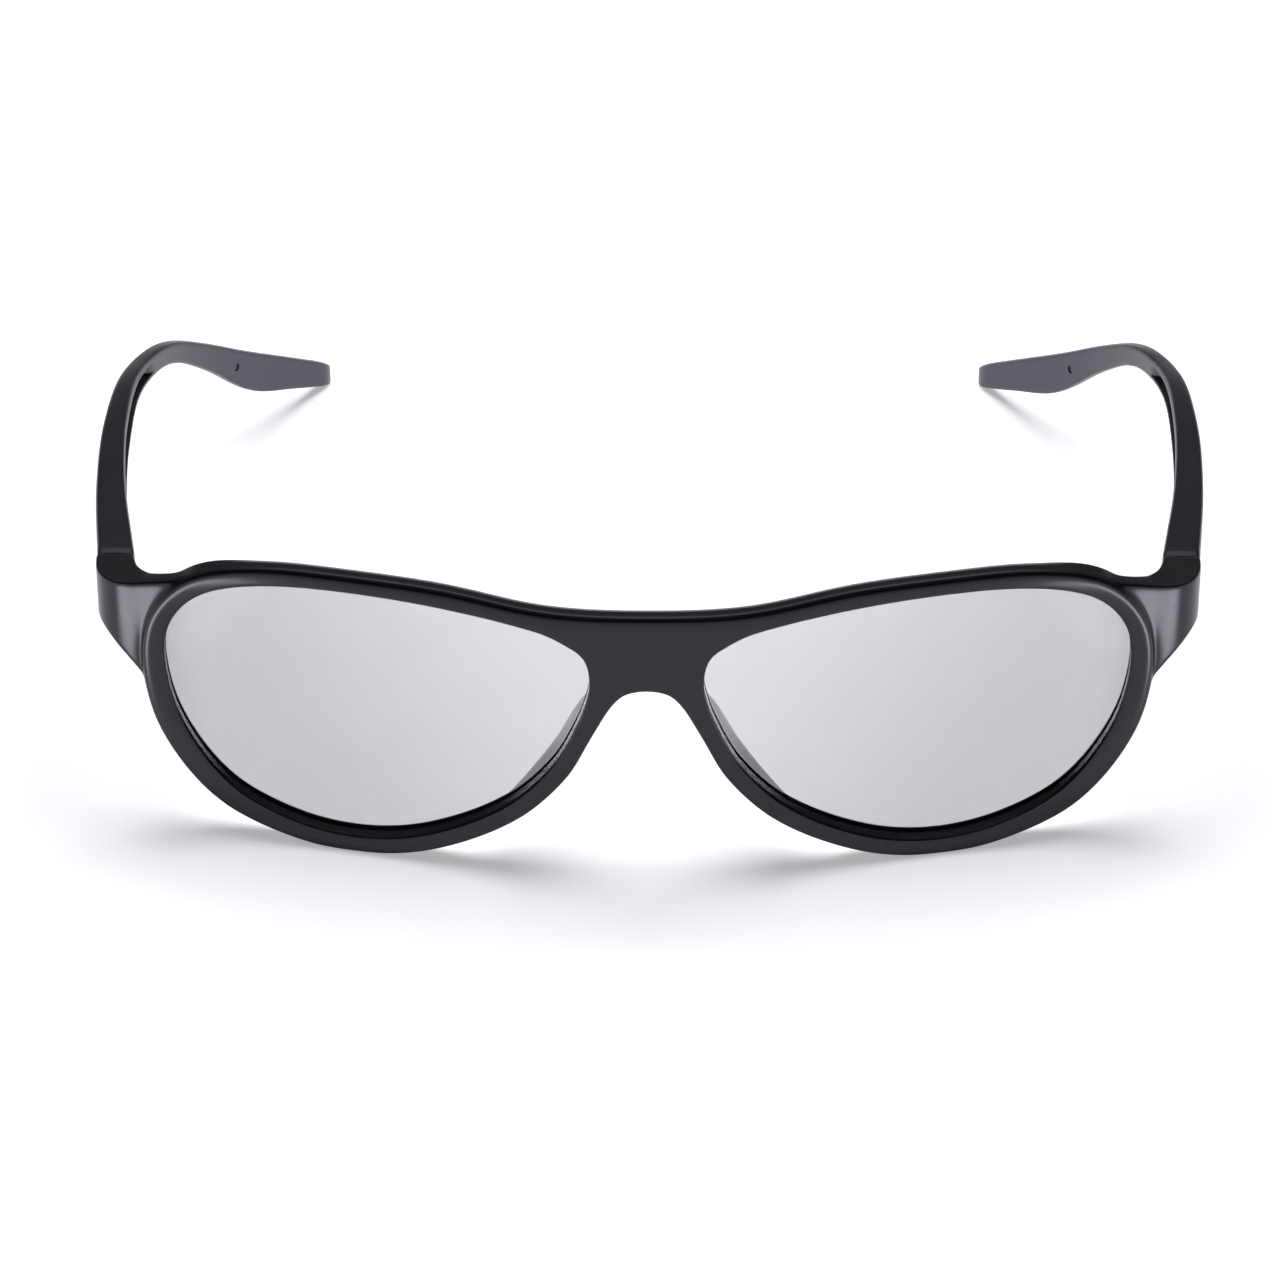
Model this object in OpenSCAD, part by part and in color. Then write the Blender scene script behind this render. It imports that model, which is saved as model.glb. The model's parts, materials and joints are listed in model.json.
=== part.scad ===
// Passive polarised 3D glasses: wrapped front, laminated lenses and two folding temples.
// Millimetres. +Z is up, the front faces -Y and the temples run towards +Y.
// Left and right are the wearer's, so the left temple is on the +X side.
// The origin is on the table, under the middle of the glasses' box.

/* [Lens openings] */
// Width of one lens opening, seen from the front
lens_w = 58; // [52:0.5:64]
// Height of one lens opening
lens_h = 38.2; // [35:0.2:42]
// Distance between the two lens openings
bridge_w = 16; // [14:0.5:20]
// Radius of the wrap that the front follows round the face
wrap_r = 180; // [150:5:320]

/* [Front frame] */
// Width of the rim round each opening
rim_w = 2.7; // [2.2:0.1:3.2]
// Width of the rim along the brow
brow_w = 2.45; // [2:0.05:3]
// Width of the rim over the cheek, below the end piece
cheek_w = 4; // [3:0.1:4.4]
// Depth of the rim from its front face to its back
rim_depth = 3.6; // [3.4:0.1:5]
// How far the middle of the brow lies below the top of the openings
brow_dip = 1.9; // [0.5:0.1:4]
// Height of the bridge, from the nose arch to the brow
bridge_h = 10.6; // [8:0.2:14]
// Height of the bevel along the outer edge of the front
edge_rise = 0.4; // [0.2:0.05:0.6]
// Depth of that bevel
edge_run = 1; // [0.5:0.1:1.4]
// Chamfer round each opening
opening_chamfer = 0.25; // [0.1:0.05:0.4]
// How far the rims and tips are flattened where they stand on a table
foot_flat = 0.2; // [0.1:0.05:0.3]

/* [Nose flanges] */
// How far the nose flanges stand out behind the rims
flange_reach = 5.5; // [3:0.5:9]
// How far their back edges lean outwards
flange_lean = 1.6; // [0.8:0.2:3]
// Thickness of the flanges
flange_t = 1.3; // [1:0.1:1.6]

/* [End pieces] */
// How far the end pieces reach out past the lens openings
end_reach = 9.8; // [8.6:0.2:12]
// How far behind the edge of the opening the temple meets the end piece
end_run = 11.1; // [10:0.1:14]
// How far the top of the end piece lies below the top of the openings
end_drop = 4.2; // [3:0.1:6]
// How far the face of the end piece lies behind the face of the rim
end_step = 0.9; // [0.5:0.1:1.5]
// Height of the end piece where it leaves the rim
end_root_h = 15; // [13:0.2:17]

/* [Temples] */
// Length of a temple from the hinge to its tip
temple_len = 123; // [110:0.5:135]
// How far the temples bow outwards
temple_bow = 3.4; // [1:0.1:6]
// How far the tips come inwards from the hinge
tip_inset = 22.8; // [16:0.2:28]
// Height of the temple at the hinge
temple_h = 7.5; // [7:0.1:9]
// Height of the neck over the ear
neck_h = 3.9; // [3.5:0.1:5]
// Height of the paddle behind the ear
paddle_h = 6.9; // [5.5:0.1:8]
// Height of the tip's end
tip_h = 3.6; // [3:0.1:4.5]
// Thickness of the temple at the hinge
temple_t = 5.2; // [4.6:0.1:5.8]
// Thickness of the temple at the tip
tip_t = 2.2; // [1.8:0.1:2.6]
// Rounding of the temple's long edges
temple_round = 0.6; // [0.3:0.05:0.8]
// Depth of the cored recess on the inside
core_depth = 1.2; // [0.4:0.1:1.6]
// Width of the lips above and below the recess
core_lip = 1.15; // [0.9:0.05:1.4]
// Distance from the hinge to the start of the recess
core_start = 9; // [7:0.5:20]
// Distance from the hinge to the rear end of the recess
core_end = 73; // [60:1:90]

/* [Hinges] */
// Diameter of the hinge pin
pin_d = 1.2; // [0.8:0.1:1.4]
// Diameter of the pin's head
pin_head_d = 2.2; // [1.8:0.1:2.6]
// Height of the pin's head
pin_head_h = 0.5; // [0.3:0.1:0.7]
// Outside diameter of the knuckles
knuckle_d = 3.2; // [2.8:0.1:3.8]
// Height of each of the two knuckles on the end piece
frame_knuckle_h = 1.1; // [1:0.1:1.4]
// Height of the knuckle on the temple
temple_knuckle_h = 1.3; // [1:0.1:1.6]

/* [Lenses] */
// Distance from the face of the rim back to the lens
lens_recess = 2; // [1.4:0.1:2.2]
// Thickness of the retarder film
retarder_t = 0.2; // [0.1:0.05:0.25]
// Thickness of the polarising film
polariser_t = 0.2; // [0.1:0.05:0.25]
// Thickness of the carrier sheet
carrier_t = 0.35; // [0.25:0.05:0.4]
// Depth of the groove that holds the lens
groove_depth = 0.9; // [0.7:0.05:1.1]

/* [Fits] */
// Clearance all round the lens in its groove
lens_clear = 0.08; // [0.05:0.01:0.12]
// Thickness of the bond between the sheets of a lens
bond_t = 0.02; // [0.01:0.01:0.03]
// Gap between the end piece and the temple
butt_gap = 0.2; // [0.15:0.05:0.4]
// Gap above and below the temple's knuckle
knuckle_gap = 0.12; // [0.08:0.01:0.2]
// Clearance round each knuckle
knuckle_clear = 0.3; // [0.2:0.05:0.4]
// Radial clearance of the pin in the temple's knuckle
pin_run = 0.06; // [0.04:0.01:0.08]
// Radial clearance of the pin in the end piece's knuckles
pin_seat = 0.04; // [0.03:0.01:0.06]

/* [Hidden] */
$fn = 48;
wrap_facets = 720;

frame_black = "#1f1f23";
temple_black = "#26262b";
film_grey = "#9c9ca4";
sheet_clear = "#d5d5da";
pin_steel = "#b4b6ba";

// Heights above the table
opening_base = rim_w - foot_flat;
opening_top = opening_base + lens_h;
brow_z = opening_top - brow_dip;
arch_z = brow_z - bridge_h;
temple_top = opening_top - end_drop;

// Plan positions, measured back from the middle of the front face
nasal_x = bridge_w / 2;
temporal_x = nasal_x + lens_w;
hinge_outer = temporal_x + end_reach;
hinge_x = hinge_outer - temple_t;
butt_y = wrap_back(temporal_x) + end_run;

// Outline of an opening, as shares of its width and height, from the top of the
// nose side over the brow and round by the cheek
opening_shape = [[0.033, 0.827], [0.114, 0.898], [0.34, 0.974], [0.57, 1], [0.76, 0.979],
                 [0.902, 0.903], [0.983, 0.762], [1, 0.584], [0.962, 0.356], [0.853, 0.139],
                 [0.7, 0.031], [0.539, 0], [0.38, 0.042], [0.199, 0.178], [0.086, 0.351],
                 [0.028, 0.524], [0.002, 0.655], [0.002, 0.728], [0.012, 0.788]];
// Numbers of the outline's points where the bridge's arch and the nose flange lie
arch_point = 17;
flange_first = 12.6;
flange_last = 16.2;
// The arch's shoulder: its share of the bridge's half width and its drop as a share of the rim
arch_shoulder = 0.45;
shoulder_drop = 0.4;
// Points round which the rim widens over the cheek, and by what share
cheek_first = 6;
cheek_shares = [0, 0.65, 1, 0.75, 0.25];
steps = 4;
stations = len(opening_shape) * steps;

// Shape of the temple along its length: share of the length, of the bow, of the inset,
// of the drop to the table and of the change in thickness
temple_shape = [[0, 0, 0, 0, 0], [0.17, 0.68, 0, 0.018, 0.33], [0.36, 1, 0, 0.058, 0.6],
                [0.55, 0.75, 0, 0.158, 0.82], [0.68, 0.3, 0.097, 0.295, 0.92],
                [0.76, 0.08, 0.262, 0.447, 0.95], [0.84, 0, 0.487, 0.643, 0.97],
                [0.92, 0, 0.743, 0.83, 0.99], [1, 0, 1, 1, 1]];
temple_heights = [temple_h, mix(temple_h, neck_h, 0.16), mix(temple_h, neck_h, 0.43),
                  mix(temple_h, neck_h, 0.85), neck_h, mix(neck_h, paddle_h, 0.42),
                  paddle_h, mix(paddle_h, tip_h, 0.4), tip_h];
temple_steps = 5;
// Length of the rounded ends of the recess and of the tip
core_ramp = 1.2;
tip_round = 1.5;
// Shares of its thickness and of its height that the tip keeps at its very end
tip_end_t = 0.45;
tip_end_h = 0.7;
// How much further the tip drops, so that its rounded end still meets the table
tip_settle = 0.3;
// Slope of the recess's sides
core_draft = 0.25;
// Share of the length over which the temple turns square to the butt, and step for its direction
butt_share = 0.08;
turn_step = 0.004;
// Least distance between two sections, as a share of the length
least_step = 0.006;
// Round ejector mark on the inside of the tip: share of the length, diameter and depth
mark_share = 0.808;
mark_d = 1.3;
mark_depth = 0.2;

// Lens, from the front to the back
lens_t = retarder_t + polariser_t + carrier_t + 2 * bond_t;
groove_front = lens_recess - lens_clear;
groove_back = lens_recess + lens_t + lens_clear;

// Hinge stack, from the bottom up
stack_lift = 0.15;
stack_z = temple_top - temple_h + stack_lift;
temple_knuckle_z = stack_z + frame_knuckle_h + knuckle_gap;
upper_knuckle_z = temple_knuckle_z + temple_knuckle_h + knuckle_gap;
stack_top = upper_knuckle_z + frame_knuckle_h;
pin_end_gap = 0.15;
pin_roof = 0.4;
// Chamfers of the pin, as a share of its head's height
dome_share = 0.4;
// How far cutting shapes run past what they cut
overcut = 2;

temple_rings = make_temple_rings();
overall_depth = max([for (ring = temple_rings, p = ring) p[1]]);

// Blends and curves
function mix(a, b, t) = a + (b - a) * t;
function ease(t) = let (c = min(1, max(0, t))) c * c * (3 - 2 * c);
function hermite(p, q, m, n, t) =
    mix(p, q, ease(t)) + m * t * (1 - t) * (1 - t) - n * t * t * (1 - t);
// Tangent at b of the curve through a, b and c, for a stretch of the given length
function tangent(a, b, c, length) = (c - a) / (norm(b - a) + norm(c - b)) * length;
function curve_point(a, b, c, d, t) =
    let (length = norm(c - b))
    hermite(b, c, tangent(a, b, c, length), tangent(b, c, d, length), t);
function across(p) = let (n = norm(p)) [-p[1] / n, p[0] / n];

// Setback of the wrapped front at a distance x from its middle
function wrap_back(x) = wrap_r - sqrt(wrap_r * wrap_r - x * x);
// A point of the front: its place in the front view and its depth behind the front face
function on_front(p, depth) = [p[0], wrap_back(p[0]) + depth, max(0, p[1])];

// Lens opening
opening_points = [for (p = opening_shape) [nasal_x + p[0] * lens_w, opening_base + p[1] * lens_h]];
function opening_control(k) = opening_points[(k + len(opening_points)) % len(opening_points)];
function opening_at(i) =
    let (k = floor(i / steps), t = i / steps - k)
    curve_point(opening_control(k - 1), opening_control(k), opening_control(k + 1),
                opening_control(k + 2), t);
opening = [for (i = [0:stations - 1]) opening_at(i)];
function ring_at(list, i) = list[(i + len(list)) % len(list)];
opening_normals = [for (i = [0:stations - 1]) across(ring_at(opening, i + 1) - ring_at(opening, i - 1))];
function widened(distance) = [for (i = [0:stations - 1]) opening[i] + distance * opening_normals[i]];

// Outer edge of one half of the front, from the brow's middle round to the nose arch
arch_station = arch_point * steps;
function rim_control(k) =
    k < 0 ? mirror_x(rim_control(-k))
    : k > arch_point ? mirror_x(rim_control(2 * arch_point - k))
    : k == 0 ? [0, brow_z]
    : k == arch_point ? [0, arch_z]
    : k == arch_point - 1 ? [nasal_x * arch_shoulder, arch_z - rim_w * shoulder_drop]
    : opening[k * steps] + opening_normals[k * steps] * (k == 1 ? rim_w : rim_width(k));
// Width of the rim at one of the outline's points
function rim_width(k) =
    k > 1 && k < cheek_first ? brow_w
    : mix(rim_w, cheek_w, k < cheek_first + len(cheek_shares) ? cheek_shares[k - cheek_first] : 0);
function mirror_x(p) = [-p[0], p[1]];
function rim_at(i) =
    let (k = min(arch_point - 1, floor(i / steps)), t = i / steps - k)
    curve_point(rim_control(k - 1), rim_control(k), rim_control(k + 1), rim_control(k + 2), t);
rim_edge = [for (i = [0:arch_station]) rim_at(i)];
function rim_neighbour(i) =
    i < 0 ? mirror_x(rim_edge[-i])
    : i > arch_station ? mirror_x(rim_edge[2 * arch_station - i])
    : rim_edge[i];
rim_normals = [for (i = [0:arch_station]) across(rim_neighbour(i + 1) - rim_neighbour(i - 1))];

// Height of the nose flange along the rim, from 0 to 1
function flange_share(i) =
    let (t = (i / steps - flange_first) / (flange_last - flange_first))
    t <= 0 || t >= 1 ? 0 : sin(180 * t);

// One section of the front, from the opening's front edge over the face, round the
// outside and back through the groove
section_points = 13;
bridge_share = 0.3;
first_outer = 2;
last_outer = 5;
function inner_section(a, n) =
    [on_front(a + n * opening_chamfer, rim_depth),
     on_front(a, rim_depth - opening_chamfer),
     on_front(a, groove_back),
     on_front(a + n * groove_depth, groove_back),
     on_front(a + n * groove_depth, groove_front),
     on_front(a, groove_front)];
function face_section(a, n) =
    [on_front(a, opening_chamfer), on_front(a + n * opening_chamfer, 0)];
function rim_section(i, a) =
    let (b = rim_edge[i], n = rim_normals[i], flange = flange_share(i),
         lean = b - n * flange_lean * flange, reach = flange_reach * flange)
    [on_front(b - n * edge_rise, 0), on_front(b, edge_run),
     on_front(lean, rim_depth - edge_rise + reach),
     on_front(lean - n * edge_rise, rim_depth + reach),
     on_front(b + (a - b) / norm(a - b) * flange_t, rim_depth)];
function bridge_section(i, a) =
    let (b = [0, mix(arch_z, brow_z, (i - arch_station) / (stations - arch_station))])
    concat([for (j = [0:last_outer - first_outer])
            on_front(b, rim_depth * j / (last_outer - first_outer))],
           [on_front(mix(b, a, bridge_share), rim_depth)]);
function front_section(i) =
    let (a = opening[i], n = opening_normals[i])
    concat(face_section(a, n),
           i <= arch_station ? rim_section(i, a) : bridge_section(i, a),
           inner_section(a, n));
front_half = [for (i = [0:stations - 1]) front_section(i)];

// Points and faces of the whole front, whose halves share the points in the middle
front_points = [for (side = [1, -1], ring = front_half, p = ring) [side * p[0], p[1], p[2]]];
function in_middle(i) = i == 0 || i >= arch_station;
function front_index(half, i, j) =
    let (station = i % stations, k = j % section_points,
         shared = in_middle(station) && k >= first_outer && k <= last_outer)
    (shared ? 0 : half) * stations * section_points + station * section_points + k;
function front_quad(half, i, j) =
    let (a = front_index(half, i, j), b = front_index(half, i, j + 1),
         c = front_index(half, i + 1, j + 1), d = front_index(half, i + 1, j))
    half == 0 ? [[a, b, c], [a, c, d]] : [[a, c, b], [a, d, c]];
function joined(i, j) = i >= arch_station && j >= first_outer && j < last_outer;
front_faces = [for (half = [0, 1], i = [0:stations - 1], j = [0:section_points - 1])
               if (!joined(i, j)) each front_quad(half, i, j)];

// A closed skin over rings of points, all with as many points
module skin(rings) {
    n = len(rings[0]);
    last = (len(rings) - 1) * n;
    sides = [for (i = [0:len(rings) - 2], j = [0:n - 1])
             let (a = i * n + j, b = i * n + (j + 1) % n)
             each [[a, b, b + n], [a, b + n, a + n]]];
    caps = [for (j = [1:n - 2]) each [[0, j + 1, j], [last, last + j, last + j + 1]]];
    polyhedron([for (ring = rings) each ring], concat(sides, caps), convexity = 10);
}

// End piece: stations from inside the rim round the corner to the hinge, each with its
// outer point, its inner point, its top, its bottom and the lean of its top. Points are
// given as shares of the way out to the hinge and of the way back to the butt
groove_wall = 0.35;
root_reach = 3.4;
root_rise = 0.9;
end_root_x = temporal_x + groove_depth + groove_wall;
end_butt_y = butt_y - butt_gap / 2;
end_face_y = wrap_back(temporal_x) + end_step;
end_back_y = wrap_back(end_root_x) + rim_depth;
root_lean = [-root_reach, wrap_back(end_root_x - root_reach) - wrap_back(end_root_x)];
function outer_at(out, back) = [mix(end_root_x, hinge_outer, out), mix(end_face_y, end_butt_y, back)];
function inner_at(out, back) = [mix(end_root_x, hinge_x, out), mix(end_back_y, end_butt_y, back)];
function end_top(share) = temple_top + root_rise * share;
function end_bottom(share) = temple_top - mix(end_root_h, temple_h, share);
end_stations =
    [[outer_at(0, 0.055), inner_at(-0.08, -0.05), end_top(1), end_bottom(0), root_lean],
     [outer_at(0.28, 0.085), inner_at(0.12, 0.08), end_top(0.4), end_bottom(0.18), [0, 0]],
     [outer_at(0.58, 0.16), inner_at(0.45, 0.27), end_top(0.05), end_bottom(0.58), [0, 0]],
     [outer_at(0.84, 0.34), inner_at(0.74, 0.52), end_top(0), end_bottom(0.9), [0, 0]],
     [outer_at(0.98, 0.635), inner_at(0.92, 0.78), end_top(0), end_bottom(1), [0, 0]],
     [outer_at(1, 1), inner_at(1, 1), end_top(0), end_bottom(1), [0, 0]]];
end_steps = 4;
function end_value(k, part) = end_stations[min(len(end_stations) - 1, max(0, k))][part];
function end_blend(i, part) =
    let (k = min(len(end_stations) - 2, floor(i / end_steps)), t = i / end_steps - k)
    hermite(end_value(k, part), end_value(k + 1, part),
            (end_value(k + 1, part) - end_value(k - 1, part)) / 2,
            (end_value(k + 2, part) - end_value(k, part)) / 2, t);
// Rounded section between an outer and an inner point, from the outer bottom corner up
function slab_ring(outer, inner, top, bottom, lean, r) =
    let (d = (inner - outer) / norm(inner - outer) * r)
    [for (c = [[outer, 0, bottom + r], [outer + lean, 0, top - r], [outer + lean, 1, top],
               [inner + lean, -1, top], [inner + lean, 0, top - r], [inner, 0, bottom + r],
               [inner, -1, bottom], [outer, 1, bottom]])
     let (p = c[0] + d * c[1]) [p[0], p[1], c[2]]];
end_rings = [for (i = [0:(len(end_stations) - 1) * end_steps])
             slab_ring(end_blend(i, 0), end_blend(i, 1), end_blend(i, 2), end_blend(i, 3),
                       end_blend(i, 4), temple_round)];

// Temple: sections along its length, from the hinge to the tip
function temple_row(k, column) =
    let (row = min(len(temple_shape) - 1, max(0, k)))
    column == 5 ? temple_heights[row] : temple_shape[row][column];
function temple_slope(k, column) =
    let (a = max(0, k - 1), b = min(len(temple_shape) - 1, k + 1))
    (temple_row(b, column) - temple_row(a, column)) / (temple_row(b, 0) - temple_row(a, 0));
function temple_value(share, column) =
    let (k = max([for (row = [0:len(temple_shape) - 2]) temple_row(row, 0) <= share ? row : 0]),
         span = temple_row(k + 1, 0) - temple_row(k, 0), t = (share - temple_row(k, 0)) / span)
    hermite(temple_row(k, column), temple_row(k + 1, column), temple_slope(k, column) * span,
            temple_slope(k + 1, column) * span, t);
function temple_outer(share) =
    [hinge_outer + temple_bow * temple_value(share, 1) - tip_inset * temple_value(share, 2),
     mix(butt_y + butt_gap / 2, butt_y + temple_len, share)];
// Unit vector from the outside of the temple to its inside, square to the butt at the hinge
function temple_inward(share) =
    let (a = temple_outer(max(0, share - turn_step)), b = temple_outer(min(1, share + turn_step)),
         v = (b - a) / norm(b - a), turned = ease(share / butt_share),
         n = [-v[1], v[0] * turned])
    n / norm(n);
// Depth of the recess, which ends in short ramps
function core_at(y) =
    core_depth * min(ease((y - core_start) / core_ramp), ease((core_end - y) / core_ramp));
// The tip narrows in a quarter round
function tip_scale(y) =
    let (d = max(0, (y - temple_len + tip_round) / tip_round))
    max(tip_end_t, sqrt(max(0, 1 - d * d)));
function temple_thick(share) = mix(temple_t, tip_t, temple_value(share, 4));
// Height of the middle of the temple above the table
function temple_middle(share) =
    temple_top - (temple_top - tip_h + foot_flat + tip_settle) * temple_value(share, 3)
    - temple_value(share, 5) / 2;
function temple_ring(share) =
    let (outer = temple_outer(share), n = temple_inward(share), y = share * temple_len,
         thick = temple_thick(share), scale = tip_scale(y), middle = temple_middle(share),
         h = temple_value(share, 5) * mix(tip_end_h, 1, scale), t = thick * scale,
         r = min(temple_round, t / 3), start = (thick - t) / 2, core = core_at(y),
         lip = max(h / 4, h / 2 - core_lip), floor = lip - min(core_draft, lip / 3))
    [for (c = [[0, r - h / 2], [0, h / 2 - r], [r, h / 2], [t - r, h / 2], [t, h / 2 - r],
               [t, lip], [t - core, floor], [t - core, -floor], [t, -lip],
               [t, r - h / 2], [t - r, -h / 2], [r, -h / 2]])
     let (p = outer + n * (start + c[0])) [p[0], p[1], max(0, middle + c[1])]];
// Shares of the length at which sections are cut, closer at the recess ends and the tip
function temple_shares() =
    let (rows = [for (k = [0:len(temple_shape) - 2], s = [0:temple_steps - 1])
                 mix(temple_shape[k][0], temple_shape[k + 1][0], s / temple_steps)],
         ramps = [for (edge = [core_start, core_end - core_ramp], s = [0:2])
                  (edge + core_ramp * s / 2) / temple_len],
         tips = [for (s = [0:4]) 1 - tip_round / temple_len * (1 - sin(90 * s / 4))],
         plain = [for (s = rows) if (s < tips[0] - least_step
                  && min([for (e = ramps) abs(s - e)]) > least_step) s])
    sorted(concat(plain, ramps, tips));
function sorted(v) =
    len(v) <= 1 ? v
    : let (pivot = v[floor(len(v) / 2)])
      concat(sorted([for (x = v) if (x < pivot) x]), [pivot], sorted([for (x = v) if (x > pivot) x]));
function make_temple_rings() = [for (share = temple_shares()) temple_ring(share)];

// Puts a piece modelled back from the front face into the part's own frame
module placed() {
    translate([0, -overall_depth / 2, 0]) children();
}

// The same piece on the wearer's left (+X) or right (-X)
module on_side(left) {
    mirror([left ? 0 : 1, 0, 0]) children();
}

// A cylinder on the hinge line between two heights
module on_hinge(d, low, high) {
    translate([hinge_x, butt_y, low]) cylinder(d = d, h = high - low);
}

// The opening's outline, widened, right through the front
module lens_way(distance) {
    translate([0, wrap_r, 0]) rotate([90, 0, 0]) linear_extrude(wrap_r) polygon(widened(distance));
}

// Front moulding: rims, brow, bridge, nose flanges, end pieces and their knuckles
module front_frame() {
    color(frame_black) placed() difference() {
        union() {
            polyhedron(front_points, front_faces, convexity = 10);
            for (left = [true, false]) on_side(left) {
                difference() {
                    skin(end_rings);
                    lens_way(groove_depth + groove_wall / 2);
                }
                on_hinge(knuckle_d, stack_z, temple_knuckle_z - knuckle_gap);
                on_hinge(knuckle_d, upper_knuckle_z, stack_top);
            }
        }
        for (left = [true, false]) on_side(left) {
            on_hinge(knuckle_d + 2 * knuckle_clear, temple_knuckle_z - knuckle_gap, upper_knuckle_z);
            on_hinge(pin_d + 2 * pin_seat, stack_z - overcut, stack_top - pin_roof);
            on_hinge(pin_head_d + 2 * pin_seat, stack_z - overcut, stack_z);
        }
    }
}

// One sheet of a lens, cut to the groove and bent to the wrap, at a depth behind the face
module lens_sheet(depth, thickness) {
    placed() intersection() {
        lens_way(groove_depth - lens_clear);
        translate([0, wrap_r + depth, 0]) difference() {
            cylinder(r = wrap_r, h = opening_top + overcut, $fn = wrap_facets);
            translate([0, thickness, -overcut])
                cylinder(r = wrap_r, h = opening_top + 3 * overcut, $fn = wrap_facets);
        }
    }
}

module retarder_film(left) {
    color(film_grey) on_side(left) lens_sheet(lens_recess, retarder_t);
}

module polarising_film(left) {
    color(film_grey) on_side(left) lens_sheet(lens_recess + retarder_t + bond_t, polariser_t);
}

module carrier_sheet(left) {
    color(sheet_clear) on_side(left)
        lens_sheet(lens_recess + retarder_t + polariser_t + 2 * bond_t, carrier_t);
}

// Shallow round mark that the mould's ejector leaves on the inside of the tip
module tip_mark() {
    n = temple_inward(mark_share);
    p = temple_outer(mark_share) + n * temple_thick(mark_share);
    translate([p[0], p[1], temple_middle(mark_share)]) rotate([0, 90, atan2(n[1], n[0])])
        cylinder(d = mark_d, h = 2 * mark_depth, center = true);
}

// Temple: lofted arm with its cored inside, relieved round the end piece's knuckles
module temple(left) {
    relief_d = knuckle_d + 2 * knuckle_clear;
    color(temple_black) on_side(left) placed() difference() {
        union() {
            difference() {
                skin(temple_rings);
                on_hinge(relief_d, stack_z - overcut, temple_knuckle_z);
                on_hinge(relief_d, temple_knuckle_z + temple_knuckle_h, stack_top + knuckle_gap);
            }
            on_hinge(knuckle_d, temple_knuckle_z, temple_knuckle_z + temple_knuckle_h);
        }
        on_hinge(pin_d + 2 * pin_run, stack_z - overcut, stack_top);
        tip_mark();
    }
}

// Headed pin, pushed in from below, which stops short of the upper knuckle's roof
module hinge_pin(left) {
    shank_top = stack_top - pin_roof - pin_end_gap;
    dome = pin_head_h * dome_share;
    color(pin_steel) on_side(left) placed() translate([hinge_x, butt_y, stack_z])
        rotate_extrude() polygon([[0, -pin_head_h], [pin_head_d / 2 - dome, -pin_head_h],
            [pin_head_d / 2, dome - pin_head_h], [pin_head_d / 2, 0], [pin_d / 2, 0],
            [pin_d / 2, shank_top - stack_z - dome], [pin_d / 2 - dome, shank_top - stack_z],
            [0, shank_top - stack_z]]);
}

front_frame();
retarder_film(true);  // left_retarder_film
polarising_film(true);  // left_polarising_film
carrier_sheet(true);  // left_carrier_sheet
retarder_film(false);  // right_retarder_film
polarising_film(false);  // right_polarising_film
carrier_sheet(false);  // right_carrier_sheet
temple(true);  // left_temple
temple(false);  // right_temple
hinge_pin(true);  // left_hinge_pin
hinge_pin(false);  // right_hinge_pin
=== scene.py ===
"""Passive polarised 3D glasses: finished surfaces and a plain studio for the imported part."""

import json
import math

import bmesh
import bpy
from mathutils import Matrix, Vector


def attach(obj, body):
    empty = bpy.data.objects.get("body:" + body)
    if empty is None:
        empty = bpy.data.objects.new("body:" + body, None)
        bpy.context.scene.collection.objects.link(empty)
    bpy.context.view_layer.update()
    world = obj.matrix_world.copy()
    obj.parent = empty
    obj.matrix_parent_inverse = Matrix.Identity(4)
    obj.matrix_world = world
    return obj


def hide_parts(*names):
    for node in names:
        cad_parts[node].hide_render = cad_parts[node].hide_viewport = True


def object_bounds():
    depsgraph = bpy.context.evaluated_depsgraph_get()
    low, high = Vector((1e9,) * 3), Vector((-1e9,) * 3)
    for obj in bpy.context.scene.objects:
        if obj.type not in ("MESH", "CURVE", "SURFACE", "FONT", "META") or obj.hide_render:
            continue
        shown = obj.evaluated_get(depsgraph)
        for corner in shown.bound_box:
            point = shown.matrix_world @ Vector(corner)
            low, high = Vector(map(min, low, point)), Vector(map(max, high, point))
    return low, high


bl_info = {
    "name": "Polarised Glasses",
    "version": (1, 0, 0),
    "blender": (4, 5, 0),
    "location": "View3D > Sidebar > Glasses",
    "description": "Builds the finished front, temples, lenses and studio of folding 3D glasses",
    "category": "Add Mesh",
}

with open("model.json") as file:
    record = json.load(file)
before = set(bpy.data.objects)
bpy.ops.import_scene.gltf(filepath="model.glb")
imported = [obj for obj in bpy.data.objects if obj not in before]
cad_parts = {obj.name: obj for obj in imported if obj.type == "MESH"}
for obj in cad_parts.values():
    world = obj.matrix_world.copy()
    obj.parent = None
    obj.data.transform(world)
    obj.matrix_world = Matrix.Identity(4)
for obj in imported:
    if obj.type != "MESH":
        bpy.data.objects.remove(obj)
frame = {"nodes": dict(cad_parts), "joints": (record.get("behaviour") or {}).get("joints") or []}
CAD_BOX = [list(corner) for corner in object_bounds()]

MM = 0.001
FRONT_Y = CAD_BOX[0][1]
HINGES = {joint["child"]: Vector(joint["pos_m"]) for joint in frame["joints"]}
HINGE = HINGES["left_temple_arm"]
SIDES = (("left", 1), ("right", -1))

# Outline of a lens opening as shares of its width and height, clockwise from the nose side
OPENING_SHAPE = (
    (0.033, 0.834), (0.114, 0.9), (0.34, 0.974), (0.57, 1), (0.76, 0.979),
    (0.902, 0.903), (0.983, 0.762), (1, 0.584), (0.962, 0.356), (0.853, 0.139),
    (0.7, 0.031), (0.539, 0), (0.38, 0.042), (0.199, 0.178), (0.086, 0.351),
    (0.026, 0.524), (-0.002, 0.655), (-0.004, 0.731), (0.007, 0.793),
)
OPENING_STEPS = 4
NEIGHBOURS = (-1, 0, 1, 2)

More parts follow.
